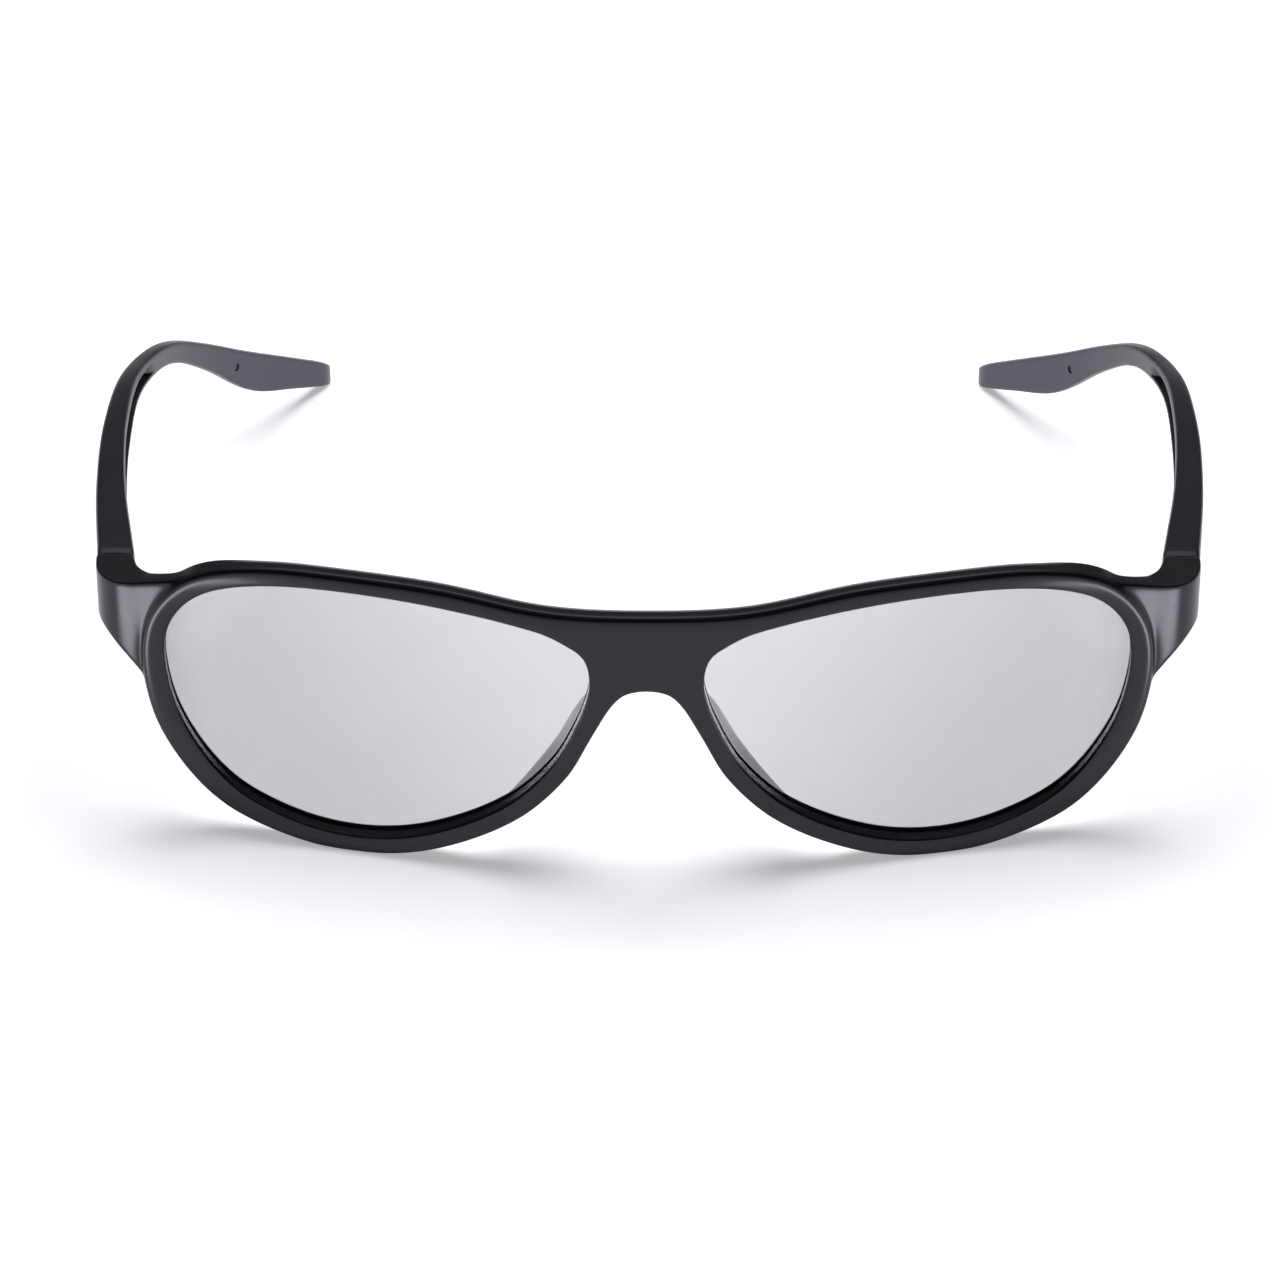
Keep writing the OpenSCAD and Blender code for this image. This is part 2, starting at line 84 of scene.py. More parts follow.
# By points of that outline: shares of the rim's widening, the nose arch and its shoulder, and
# where the flanges begin and end
CHEEK_SHARES = {6: 0, 7: 0.65, 8: 1, 9: 0.75, 10: 0.25}
SWELL_SHARES = {1: 0.8, 2: 0.5, 4: 0.45, 5: 1, 6: 0.5}
ARCH_POINT = 17
ARCH_SHOULDER = (0.45, 0.4)
FLANGE_SPAN = (12.6, 16.2)
FLANGE_FULLNESS = 0.7

# Places in a section of the rim: the chamfer, the bevel, the side wall, the back and the groove
CHAMFER = (0, 1)
FACE_EDGE, WALL_FRONT, WALL_BACK, BACK_EDGE = 2, 4, 7, 9
GROOVE = (13, 14, 15, 16)

# Shares that shape a section: the bevel's knee, the outer side's fall, the lower bevels'
# softness and the back's rounding, and the runs over which the face turns and the crown ends
BEVEL_KNEE = (0.2, 0.4)
WALL_FALL = ((0, 0), (0.25, 0), (0.62, 0.25), (1, 1))
LOWER_BEVEL, LOWER_TURN = 0.35, 1.2
ROUND_KNEE = 0.25
BRIDGE_BACK = 0.3
TURN_RUN = 20 * MM
CROWN_RUN, CROWN_LEAD, CROWN_DROP = 8 * MM, 1.75, 6 * MM
GROOVE_CREASE, FACE_CREASE, CORE_CREASE = 1.0, 0.5, 0.9
SMOOTH_LEVELS = 2
MERGE = 2e-6

# Way of the end piece: outer point, inner point, rise of the top and share of the narrowing
END_WAY = (
    ((0.28, 0.085), (0.12, 0.08), 0.4, 0.18),
    ((0.58, 0.16), (0.45, 0.27), 0.05, 0.58),
    ((0.84, 0.34), (0.7, 0.42), 0, 0.9),
    ((0.98, 0.635), (0.86, 0.6), 0, 1),
    ((1, 1), (1, 1), 0, 1),
)

# Where the end piece leaves the rim, and how its stations join the wall and end at the butt
END_START = 1.25 * MM
PATCH_INSET, PATCH_BELOW, PATCH_ABOVE = 6 * MM, 0.4 * MM, 1.6 * MM
BUTT_KNEE = (1.5, 0.9)
JOIN_STATIONS, SETTLE_SPARE = 5, 4
STATION_STEPS = 2
WALL_CLEAR = 0.45 * MM
EDGE_LIMIT = 0.2

# Temple from hinge to tip: length, bow, inset, drop and thinning as shares
TEMPLE_WAY = (
    (0, 0, 0, 0, 0), (0.17, 0.68, 0, 0.018, 0.33), (0.36, 1, 0, 0.05, 0.6),
    (0.55, 0.76, 0.012, 0.155, 0.82), (0.68, 0.285, 0.11, 0.287, 0.92),
    (0.76, 0.085, 0.262, 0.447, 0.95), (0.84, 0, 0.484, 0.636, 0.97),
    (0.92, 0, 0.732, 0.818, 0.99), (1, 0, 0.975, 1, 1),
)

# Height at each of these places: which of hinge, neck, paddle and tip it leaves, and how far
TEMPLE_HEIGHTS = ((0, 0), (0, 0.15), (0, 0.4), (0, 0.95), (1, 0), (1, 0.36), (2, 0), (2, 0.44),
                  (3, 0))
BOW, INSET, DROP, THINNING, HEIGHT = 1, 2, 3, 4, 5

# Sections of the temple: how many, how close as shares of the length, and what limits them
WAY_PARTS, RAMP_STEPS, TIP_STEPS = 5, 2, 4
WAY_STEP, SECTION_SPARE, SQUARE_RUN = 0.004, 0.006, 0.08
DIP_STEPS = (0.35, 0.7, 1, 1.4)
TIP_LEAST, TIP_FALL = 0.45, 0.7
ROUND_LIMIT, BEND_SHARE, FLAT_LIMIT = 3.2, 0.3, 0.6
CORE_SLOPE = 0.25 * MM
CORE_EDGES = (8, 9, 10, 11)

# Tools for the hinge cuts: sides of a rod, how far it overshoots, and what keeps two apart
ROD_SIDES = 48
OVERSHOOT = 3 * MM
BORE_SKIN, HEAD_SKIN = 0.1 * MM, 0.001 * MM

# Lens sheets: rings from the edge to the middle
SHEET_RINGS = (1, 0.93, 0.82, 0.68, 0.53, 0.38, 0.23, 0.1)

# Materials: noise as scale, detail and roughness, and changes as from, to, first and last value
GRAIN_NOISE, GRAIN_SPREAD = (3.0, 0.6), (0.10, -0.05)
GRAIN_DEPTH, GRAIN_STRENGTH = 2e-5, 0.12
HAZE_NOISE, HAZE_BAND = (85.0, 5.0, 0.62), (0.42, 0.72, 0.0)
HAZE_GAIN, HAZE_LIFT, HAZE_DULL = 2.6, 0.01, 0.22
# Painted sheen on the temples: where their colour turns lighter and bluer towards the rear
REAR_SHEEN_FADE = (0.032, 0.05)
# Painted reflection on the lenses: how it slants with height, and where it fades from the nose
# side to the temple side
LENS_REFLECTION_SLANT, LENS_REFLECTION_FADE = -0.55, (-0.012, 0.045, -1.0, 0.45)
MIST_NOISE, MIST_GLOSS = (60.0, 4.0), (0.0, 1.0, 0.03, 0.09)
STEEL_NOISE, STEEL_GLOSS = (9000.0, 3.0), (0.0, 1.0, 0.22, 0.42)
STEEL_STRETCH, STEEL_TONES = (1.0, 1.0, 0.08), (0.8, 1.15)
PLASTIC_IOR, FILM_IOR = 1.56, 1.2

# Light of the table by distance and of the world by direction: from, to, first and last level
FLOOR_FAR = (0.13, 0.4, 0.46, 1.15)
FLOOR_NEAR = (0.055, 0.095, 0.6, 0.16)
FLOOR_CORE = (0.03, 0.06, 1.1, 0.0)
SKY_BACK = (0.1, 0.5, 0.01, 0.17)
SKY_LEVEL = (0.15, 0.5, 0.01)
SKY_ABOVE = (0.72, 0.87, 0.0)
SKY_EDGE = (0.03, 0.1, 0.9, 0.0)
SKY_SHINE = 7.0
LIGHT_TINT = (0.97, 0.96, 1.0)

# Table, lamps and camera: sizes and places in metres, turns in degrees, power in watts
FLOOR_HALF = 12.0
OVERHEAD = ((0, 0.13, 0.6), (0, 0.06, 0), (0.5, 0.4), 4.3)
PANEL_PLACE, PANEL_AIM = (0.11, -0.1, 0.002), (0.11, -0.1, 1)
PANEL_SIZE, PANEL_POWER = (0.034, 0.028), 0.02
CAMERA_PLACE = (0.00536, -0.67101, 0.38142)
CAMERA_TURN = (60.01, 0.10, 0.54)
CAMERA_LENS, CAMERA_SENSOR = 145.49, 36.0
CAMERA_CLIP = (0.01, 50.0)
CLEAR_BOUNCES = 32


def length(description, millimetres):
    """A size in metres that the sidebar shows as a length."""
    return bpy.props.FloatProperty(description=description, default=millimetres * MM, min=0.0,
                                   unit="LENGTH", precision=5)


def colour(description, value):
    """A linear colour."""
    return bpy.props.FloatVectorProperty(description=description, default=value, min=0.0,
                                         max=1.0, size=3, subtype="COLOR")


def share(description, value):
    """A plain factor between nought and one."""
    return bpy.props.FloatProperty(description=description, default=value, min=0.0, max=1.0,
                                   subtype="FACTOR")


def labelled(group):
    """Gives each setting of a group a name made from its key."""
    for key, setting in group.__annotations__.items():
        setting.keywords["name"] = key.replace("_", " ").capitalize()
    return group


@labelled
class FrontSizes(bpy.types.PropertyGroup):
    """Sizes of the front moulding."""

    lens_width: length("Width of one lens opening", 58)
    lens_height: length("Height of one lens opening", 38.2)
    bridge_width: length("Distance between the openings", 16)
    wrap_radius: length("Radius that the front follows round the face", 180)
    rim_width: length("Width of the rim", 2.7)
    brow_width: length("Width of the rim along the brow", 2.42)
    brow_swell: length("Extra width of the brow above the end pieces", 0.6)
    cheek_width: length("Width of the rim over the cheek", 3.7)
    rim_depth: length("Depth of the rim from front to back", 3.6)
    brow_dip: length("Dip of the brow's middle below the openings", 1.25)
    bridge_height: length("Height of the bridge over the nose arch", 11.25)
    bevel_height: length("Height of the bevel along the outer edge", 0.7)
    bevel_depth: length("Depth of that bevel", 1.0)
    crown: length("Fall of the outer side towards the back", 0.42)
    back_round: length("Rounding of the outer back edge", 0.32)
    face_turn: length("How far the rims' outer faces turn against the wrap", 0.5)
    opening_chamfer: length("Chamfer round each opening", 0.25)
    foot_flat: length("Flattening where the rims stand on a table", 0.2)
    flange_reach: length("Reach of the nose flanges behind the rims", 5.5)
    flange_lean: length("Outward lean of the flanges' back edges", 1.6)
    flange_thickness: length("Thickness of the flanges", 1.3)
    flange_root: length("Step from the openings to the flanges' roots", 0.3)
    end_reach: length("Reach of the end pieces past the openings", 9.8)
    end_drop: length("Drop of the end piece's top below the openings' top", 4.2)
    end_step: length("Step from the rim's face back to the end piece", 0.9)
    end_height: length("Height of the end piece at the rim", 15)
    end_rise: length("Rise of the end piece's top towards the rim", 0.9)
    butt_round: length("Rounding where the end piece meets the temple", 0.16)
    butt_run: length("Length of the end piece's last stretch before the temple", 1.2)
    butt_fall: length("Fall of its top along that stretch", 0.12)


@labelled
class LensSizes(bpy.types.PropertyGroup):
    """Sizes of the three sheets of a lens and of their groove."""

    recess: length("Distance from the rim's face back to the lens", 2)
    retarder: length("Thickness of the retarder film", 0.2)
    polariser: length("Thickness of the polarising film", 0.2)
    carrier: length("Thickness of the carrier sheet", 0.35)
    bond: length("Thickness of the bond between the sheets", 0.02)
    clearance: length("Clearance of the lens in its groove", 0.08)
    groove: length("Depth of the groove", 0.9)


@labelled
class TempleSizes(bpy.types.PropertyGroup):
    """Sizes of the folding temples."""

    length: length("Length from the hinge to the tip", 123)
    bow: length("Outward bow", 3.4)
    tip_inset: length("How far the tip comes inwards", 22.8)
    height: length("Height at the hinge", 7.5)
    neck_height: length("Height over the ear", 3.65)
    paddle_height: length("Height of the paddle", 6.9)
    tip_height: length("Height of the tip's end", 4)
    thickness: length("Thickness at the hinge", 5.2)
    tip_thickness: length("Thickness at the tip", 2.2)
    edge_round: length("Rounding of the long edges", 0.6)
    core_depth: length("Depth of the recess on the inside", 1.2)
    core_lip: length("Lip above and below the recess", 1.15)
    core_start: length("Distance from the hinge to the recess", 9)
    core_end: length("Distance from the hinge to the recess's end", 71)
    core_ramp: length("Length of the recess's rounded ends", 1.2)
    butt_dip: length("Dip of the temple's top at the end piece", 0.36)
    dip_run: length("Length over which that dip runs out", 1.5)
    tip_round: length("Rounding of the tip", 2.6)
    tip_settle: length("Extra drop that keeps the rounded tip on the table", 0.3)
    mark_share: share("Share of the length at which the ejector mark lies", 0.808)
    mark_diameter: length("Diameter of the ejector mark", 1.3)
    mark_depth: length("Depth of the ejector mark", 0.2)


@labelled
class HingeSizes(bpy.types.PropertyGroup):
    """Sizes of the knuckles and of their clearances."""

    knuckle: length("Outside diameter of the knuckles", 3.2)
    frame_height: length("Height of each knuckle on the end piece", 1.1)
    temple_height: length("Height of the knuckle on the temple", 1.3)
    lift: length("Height of the stack above the temple's lower edge", 0.15)
    gap: length("Gap above and below the temple's knuckle", 0.12)
    clearance: length("Clearance round each knuckle", 0.3)
    step: length("Step between a knuckle's face and the cut beside it", 0.03)
    bore: length("Bore for the pin", 1.3)
    head_bore: length("Bore for the pin's head", 2.28)
    roof: length("Closed top of the upper knuckle", 0.4)
    butt_gap: length("Gap between the end piece and the temple", 0.2)
    edge: length("Rounding of the knuckles' edges", 0.12)


@labelled
class Finishes(bpy.types.PropertyGroup):
    """Colours and gloss of the materials."""

    front_colour: colour("Moulded front", (0.004, 0.004, 0.0048))
    front_roughness: share("Roughness of the front", 0.24)
    temple_colour: colour("Moulded temples", (0.0075, 0.0075, 0.011))
    # Painted sheen: a lighter, bluer colour for the temples behind the bend, standing in for the
    # bluish sheen their inner faces catch
    tip_colour: colour("Temples behind the ear bend", (0.028, 0.028, 0.046))
    temple_roughness: share("Roughness of the temples", 0.3)
    front_sheen: colour("Tint of the front's reflections", (0.92, 0.9, 1.0))
    temple_sheen: colour("Tint of the temples' reflections", (0.86, 0.84, 1.0))
    film_colour: colour("Grey of the polarising film", (0.035, 0.034, 0.046))
    clear_colour: colour("Tone of the clear sheets", (0.06, 0.06, 0.07))
    film_density: share("How much light one face of the film holds back", 0.225)
    clear_density: share("How much one face of a clear sheet holds back", 0.035)
    steel_colour: colour("Hinge pins", (0.46, 0.465, 0.48))
    floor_colour: colour("Table under the glasses", (0.855, 0.852, 0.875))


def mix(a, b, t):
    return a + (b - a) * t


def ease(t):
    t = min(1.0, max(0.0, t))
    return t * t * (3 - 2 * t)


def hermite(p, q, m, n, t):
    """A point between p and q on the curve that leaves along m and arrives along n."""
    return p + (q - p) * ease(t) + m * (t * (1 - t) ** 2) - n * (t * t * (1 - t))


def curve_point(a, b, c, d, t):
    """A point between b and c of the smooth curve through a, b, c and d."""
    span = (c - b).length
    start = (c - a) * (span / ((b - a).length + span))
    end = (d - b) * (span / (span + (d - c).length))
    return hermite(b, c, start, end, t)


def outward(before, after):
    """Unit normal to the left of the way from one point to the next."""
    way = (after - before).normalized()
    return Vector((-way.y, way.x))


def folded(point, k, last):
    """A point of half an outline, mirrored before its first place and past its last."""
    if 0 <= k <= last:
        return point(k)
    x, z = point(-k if k < 0 else 2 * last - k)
    return Vector((-x, z))


class FrontShape:
    """The front's outlines in the front view, in metres, and how they bend round the wrap."""

    def __init__(self, context):
        s = self.sizes = context.scene.glasses_front
        t = context.scene.glasses_temple
        self.nasal = s.bridge_width / 2
        self.temporal = self.nasal + s.lens_width
        self.base = s.rim_width - s.foot_flat
        self.top = self.base + s.lens_height
        self.brow = self.top - s.brow_dip
        self.arch = self.brow - s.bridge_height
        self.temple_top = self.top - s.end_drop
        self.hinge_outer = self.temporal + s.end_reach
        self.temple_height = t.height
        self.controls = [Vector((self.nasal + x * s.lens_width, self.base + z * s.lens_height))
                         for x, z in OPENING_SHAPE]
        count = len(self.controls) * OPENING_STEPS
        self.opening = [self.opening_point(i) for i in range(count)]
        self.normals = [outward(self.opening[i - 1], self.opening[(i + 1) % count])
                        for i in range(count)]
        last = self.arch_station = ARCH_POINT * OPENING_STEPS
        self.edge = [self.edge_point(i) for i in range(last + 1)]
        near = [folded(self.edge.__getitem__, i, last) for i in range(-1, last + 2)]
        self.edge_normals = [outward(before, after) for before, after in zip(near, near[2:])]

    def wrap(self, x):
        radius = self.sizes.wrap_radius
        return radius - math.sqrt(radius * radius - x * x)

    def place(self, point, depth):
        """A point of the front view at a depth behind the wrapped face."""
        return Vector((point.x, FRONT_Y + self.wrap(point.x) + depth, max(0.0, point.y)))

    def opening_point(self, i):
        k, step = divmod(i, OPENING_STEPS)
        near = [self.controls[(k + j) % len(self.controls)] for j in NEIGHBOURS]
        return curve_point(*near, step / OPENING_STEPS)

    def width(self, k):
        s = self.sizes
        swell = s.brow_swell * SWELL_SHARES.get(k, 0)
        if 1 < k < min(CHEEK_SHARES):
            return s.brow_width + swell
        return mix(s.rim_width, s.cheek_width, CHEEK_SHARES.get(k, 0)) + swell

    def edge_control(self, k):
        if k == 0:
            return Vector((0, self.brow))
        if k == ARCH_POINT:
            return Vector((0, self.arch))
        if k == ARCH_POINT - 1:
            aside, below = ARCH_SHOULDER
            return Vector((self.nasal * aside, self.arch - self.sizes.rim_width * below))
        i = k * OPENING_STEPS
        return self.opening[i] + self.normals[i] * self.width(k)

    def edge_point(self, i):
        k = min(ARCH_POINT - 1, i // OPENING_STEPS)
        near = [folded(self.edge_control, k + j, ARCH_POINT) for j in NEIGHBOURS]
        return curve_point(*near, i / OPENING_STEPS - k)

    def flange(self, i):
        first, last = FLANGE_SPAN
        t = (i / OPENING_STEPS - first) / (last - first)
        return math.sin(math.pi * t) ** FLANGE_FULLNESS if 0 < t < 1 else 0.0

    def section(self, i, lens):
        """One section of the rim: face, bevel, wall, back and groove."""
        s = self.sizes
        a, n = self.opening[i], self.normals[i]
        back = s.rim_depth
        c = s.opening_chamfer
        groove_front = lens.recess - lens.clearance
        groove_back = (lens.recess + lens.retarder + lens.polariser + lens.carrier
                       + 2 * lens.bond + lens.clearance)
        turn = s.face_turn * max(0.0, n.x) * ease((a.x - self.temporal) / TURN_RUN + 1)
        points = [(a, c + turn), (a + n * c, turn)]
        if i <= self.arch_station:
            b, m = self.edge[i], self.edge_normals[i]
            crown = s.crown * (1 - ease((b.x - self.temporal) / CROWN_RUN + CROWN_LEAD)
                               * ease((b.y - self.temple_top) / CROWN_DROP + 1))
            flange = self.flange(i)
            lean = b - m * s.flange_lean * flange
            wall = back - s.back_round + s.flange_reach * flange
            root = mix(s.flange_thickness, (a - b).length - s.flange_root, flange)
            soft = mix(1, LOWER_BEVEL, ease(-m.y * LOWER_TURN))
            up, deep = BEVEL_KNEE
            points += [(b - m * s.bevel_height * soft, -turn),
                       (b - m * s.bevel_height * up * soft, s.bevel_depth * deep * soft - turn)]
            for t, fall in WALL_FALL:
                points.append((mix(b, lean, t) - m * crown * fall,
                               mix(s.bevel_depth * soft - turn, wall, t)))
            lean -= m * crown
            points += [(lean - m * s.back_round * ROUND_KNEE,
                        wall + s.back_round * (1 - ROUND_KNEE)),
                       (lean - m * s.back_round, wall + s.back_round),
                       (b + (a - b).normalized() * root, back)]
        else:
            t = (i - self.arch_station) / (len(self.opening) - self.arch_station)
            b = Vector((0, mix(self.arch, self.brow, t)))
            rows = BACK_EDGE - FACE_EDGE
            points += [(b, back * j / rows) for j in range(rows + 1)]
            points.append((mix(b, a, BRIDGE_BACK), back))
        points += [(a + n * c, back), (a, back - c), (a, groove_back),
                   (a + n * lens.groove, groove_back), (a + n * lens.groove, groove_front),
                   (a, groove_front)]
        return [self.place(p, depth) for p, depth in points]


def of_kind(made, kind):
    return [g for g in made if isinstance(g, kind)]


def drawn_from(v, fresh):
    """The fresh vertex that an extrusion drew out of this one, if an edge joins the two."""
    return next((e.other_vert(v) for e in v.link_edges if e.other_vert(v) in fresh), None)


def sweep(bm, rings, closed=False):
    """Extrudes the first ring of points through all the others and returns the vertices."""
    first = [bm.verts.new(p) for p in rings[0]]
    edges = [bm.edges.new((v, first[(j + 1) % len(first)])) for j, v in enumerate(first)]
    swept = [first]
    for ring in list(rings[1:]) + ([rings[0]] if closed else []):
        made = bmesh.ops.extrude_edge_only(bm, edges=edges)["geom"]
        fresh = set(of_kind(made, bmesh.types.BMVert))
        edges = [e for e in of_kind(made, bmesh.types.BMEdge) if fresh.issuperset(e.verts)]
        ahead = [drawn_from(v, fresh) for v in swept[-1]]
        for v, p in zip(ahead, ring):
            v.co = p
        swept.append(ahead)
    if closed:
        bmesh.ops.weld_verts(bm, targetmap=dict(zip(swept.pop(), first)))
    return swept


def pull(bm, faces, columns, places):
    """Extrudes a patch of faces once and moves its vertices, given in columns, to their places."""
    made = bmesh.ops.extrude_face_region(bm, geom=faces)["geom"]
    fresh = set(of_kind(made, bmesh.types.BMVert))
    ahead = [[drawn_from(v, fresh) for v in column] for column in columns]
    loose = fresh - {v for column in ahead for v in column}
    for column, olds in zip(ahead, columns):
        for j, v in enumerate(column):
            if v is None:
                column[j] = min(loose, key=lambda w: (w.co - olds[j].co).length)
    for column, row in zip(ahead, places):
        for v, p in zip(column, row):
            v.co = p
    left = [f for f in faces if f.is_valid]
    if left:
        bmesh.ops.delete(bm, geom=left, context="FACES")
    return of_kind(made, bmesh.types.BMFace), ahead


def start_mesh():
    """An empty mesh with room for creases."""
    bm = bmesh.new()
    bm.edges.layers.float.new("crease_edge")
    return bm


def crease(bm, ring, ahead, places, amount):
    """Keeps edges from one ring to the next crisp under the subdivision."""
    layer = bm.edges.layers.float["crease_edge"]
    for j in places:
        edge = next(e for e in ring[j].link_edges if e.other_vert(ring[j]) is ahead[j])
        edge[layer] = amount


def tidy(bm):
    """Merges doubles and turns all faces outwards."""
    bmesh.ops.remove_doubles(bm, verts=bm.verts[:], dist=MERGE)
    bmesh.ops.recalc_face_normals(bm, faces=bm.faces[:])


def piece_from(bm, name):
    mesh = bpy.data.meshes.new(name)
    bm.to_mesh(mesh)
    bm.free()
    obj = bpy.data.objects.new(name, mesh)
    bpy.context.scene.collection.objects.link(obj)
    return obj


def shade(obj, degrees=32):
    """Smooth shading that stays crisp over sharp edges."""
    bm = bmesh.new()
    bm.from_mesh(obj.data)
    for f in bm.faces:
        f.smooth = True
    for e in bm.edges:
        e.smooth = len(e.link_faces) == 2 and e.calc_face_angle(0) < math.radians(degrees)
    bm.to_mesh(obj.data)
    bm.free()


def rod(bm, centre, diameter, low, high, edge=0.0):
    """An upright cylinder with rounded rims."""
    made = bmesh.ops.create_cone(
        bm, cap_ends=True, segments=ROD_SIDES, radius1=diameter / 2, radius2=diameter / 2,
        depth=high - low,
        matrix=Matrix.Translation((centre.x, centre.y, (low + high) / 2)))["verts"]
    if edge:
        rims = [e for e in {e for v in made for e in v.link_edges}
                if abs(e.verts[0].co.z - e.verts[1].co.z) < edge / 4]
        bmesh.ops.bevel(bm, geom=rims, affect="EDGES", offset=edge, segments=2, profile=0.5,
                        material=-1, offset_type="OFFSET")


def finish_solid(obj, cuts):
    """Subdivides a piece, joins or cuts the given solids, and leaves plain smooth mesh."""
    smooth = obj.modifiers.new("smooth", "SUBSURF")
    smooth.levels = smooth.render_levels = SMOOTH_LEVELS
    tools = []
    for operation, bm in cuts:
        tool = piece_from(bm, "tool")
        tools.append(tool)
        modifier = obj.modifiers.new("cut", "BOOLEAN")
        modifier.operation = operation
        modifier.solver = "EXACT"
        modifier.object = tool
    depsgraph = bpy.context.evaluated_depsgraph_get()
    mesh = bpy.data.meshes.new_from_object(obj.evaluated_get(depsgraph))
    if len(mesh.polygons) < len(obj.data.polygons) * 4 ** SMOOTH_LEVELS / 2:
        raise RuntimeError(obj.name + " was lost in a cut")
    obj.modifiers.clear()
    mesh.name = obj.name
    obj.data = mesh
    for tool in tools:
        bpy.data.objects.remove(tool)
    shade(obj)


def dress(obj, material, slot, body, *nodes):
    """Gives a piece its material and the body it moves with. The slot argument is not used."""
    obj.data.materials.clear()
    obj.data.materials.append(bpy.data.materials[material])
    for polygon in obj.data.polygons:
        polygon.material_index = 0
    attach(obj, body)
    if nodes:
        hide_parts(*nodes)


class Stack:
    """Heights of the hinge's knuckles."""

    def __init__(self, context, shape):
        h = context.scene.glasses_hinge
        self.low = shape.temple_top - shape.temple_height + h.lift
        self.temple = self.low + h.frame_height + h.gap
        self.temple_top = self.temple + h.temple_height
        self.upper = self.temple_top + h.gap
        self.top = self.upper + h.frame_height


class GLASSES_OT_front(bpy.types.Operator):
    """Builds the one-piece front: rims, bridge, nose flanges, end pieces and knuckles"""

    bl_idname = "glasses.front"
    bl_label = "Front moulding"

    def execute(self, context):
        shape = FrontShape(context)
        bm = start_mesh()
        rings = [shape.section(i, context.scene.glasses_lens) for i in range(len(shape.opening))]
        swept = sweep(bm, rings, closed=True)
        self.crisp_groove(bm, swept)
        self.open_middle(bm, swept, shape)
        self.end_piece(bm, swept, shape, context)
        bmesh.ops.mirror(bm, geom=bm.verts[:] + bm.edges[:] + bm.faces[:],
                         matrix=Matrix.Identity(4), merge_dist=MERGE, axis="X")
        tidy(bm)
        obj = piece_from(bm, "front_moulding")
        finish_solid(obj, self.hinge_cuts(context, shape))
        dress(obj, "moulded_front", "frame_plastic", "front", "front_frame")
        return {"FINISHED"}

    def crisp_groove(self, bm, swept):
        for ring, ahead in zip(swept, swept[1:] + swept[:1]):
            crease(bm, ring, ahead, GROOVE, GROOVE_CREASE)
            crease(bm, ring, ahead, CHAMFER, FACE_CREASE)

    def open_middle(self, bm, swept, shape):
        """Takes out the wall in the mirror plane, so that the two halves become one."""
        inner = []
        for i in range(shape.arch_station, len(swept)):
            ring, ahead = swept[i], swept[(i + 1) % len(swept)]
            for j in range(FACE_EDGE, BACK_EDGE):
                inner.append(bm.faces.get((ring[j], ring[j + 1], ahead[j + 1], ahead[j])))
        bmesh.ops.delete(bm, geom=inner, context="FACES")

    def end_piece(self, bm, swept, shape, context):
        """Pulls the end piece out of the rim's side wall and round the corner to the hinge."""
        s = shape.sizes
        t = context.scene.glasses_temple
        top, height = shape.temple_top, shape.temple_height
        rows = [i for i in range(shape.arch_station)
                if shape.edge[i].x > shape.temporal - PATCH_INSET
                and top - s.end_height - PATCH_BELOW < shape.edge[i].y
                < top + s.end_rise + PATCH_ABOVE]
        columns = [[swept[i][j] for j in range(WALL_FRONT, WALL_BACK + 1)] for i in rows]
        faces = [bm.faces.get((swept[i][j], swept[i][j + 1], swept[i + 1][j + 1], swept[i + 1][j]))
                 for i in rows[:-1] for j in range(WALL_FRONT, WALL_BACK)]
        start_x = shape.temporal + END_START
        butt = HINGE.y - context.scene.glasses_hinge.butt_gap / 2
        face = FRONT_Y + shape.wrap(shape.temporal) + s.end_step
        back = FRONT_Y + shape.wrap(start_x) + s.rim_depth
        way = [(Vector((mix(start_x, shape.hinge_outer, o[0]), mix(face, butt, o[1]))),
                Vector((mix(start_x, HINGE.x, n[0]), mix(back, butt, n[1]))),
                top + s.end_rise * rise, top - mix(s.end_height, height, narrow))
               for o, n, rise, narrow in END_WAY]
        start = [1 - (c[0].co.z - columns[-1][0].co.z) / (columns[0][0].co.z - columns[-1][0].co.z)
                 for c in columns]
        walls = [(c[0].co.copy(), c[-1].co.copy()) for c in columns]
        stations = self.between(way, STATION_STEPS)[:-2]
        outer, inner, high, low = way[-1]
        before, fallen = BUTT_KNEE
        for back_off, fall in ((s.butt_run, 0.0), (s.butt_round * before, fallen), (0.0, 1.0)):
            away = Vector((0, back_off))
            stations.append((outer - away, inner - away, high - s.butt_fall * fall, low))
        for number, (outer, inner, high, low) in enumerate(stations):
            settled = ease((number + 1) / (len(stations) - SETTLE_SPARE))
            joined = 1 - ease((number + 1) / JOIN_STATIONS)
            clear = WALL_CLEAR * (number + 1)
            inset = s.butt_round if number == len(stations) - 1 else 0.0
            places = []
            for r, (front_wall, back_wall) in enumerate(walls):
                r_share = self.row_share(r, len(rows), high - low, t.edge_round)
                z = mix(high - inset, low + inset, mix(start[r], r_share, settled))
                first = Vector((max(outer.x, front_wall.x + clear),
                                outer.y + max(0.0, front_wall.y - outer.y) * joined))
                last = Vector((max(inner.x, mix(inner.x, back_wall.x + clear, joined)),
                               max(inner.y, mix(inner.y, back_wall.y + clear, joined))))
                first, last = mix(outer, first, joined), mix(inner, last, joined ** 0.5)
                across = (last - first).normalized()
                edge = min(t.edge_round, (last - first).length * EDGE_LIMIT) + inset * 0.5
                ring = [first + across * inset, first + across * edge,
                        last - across * edge, last - across * inset]
                places.append([Vector((p.x, p.y, z)) for p in ring])
            faces, columns = pull(bm, faces, columns, places)

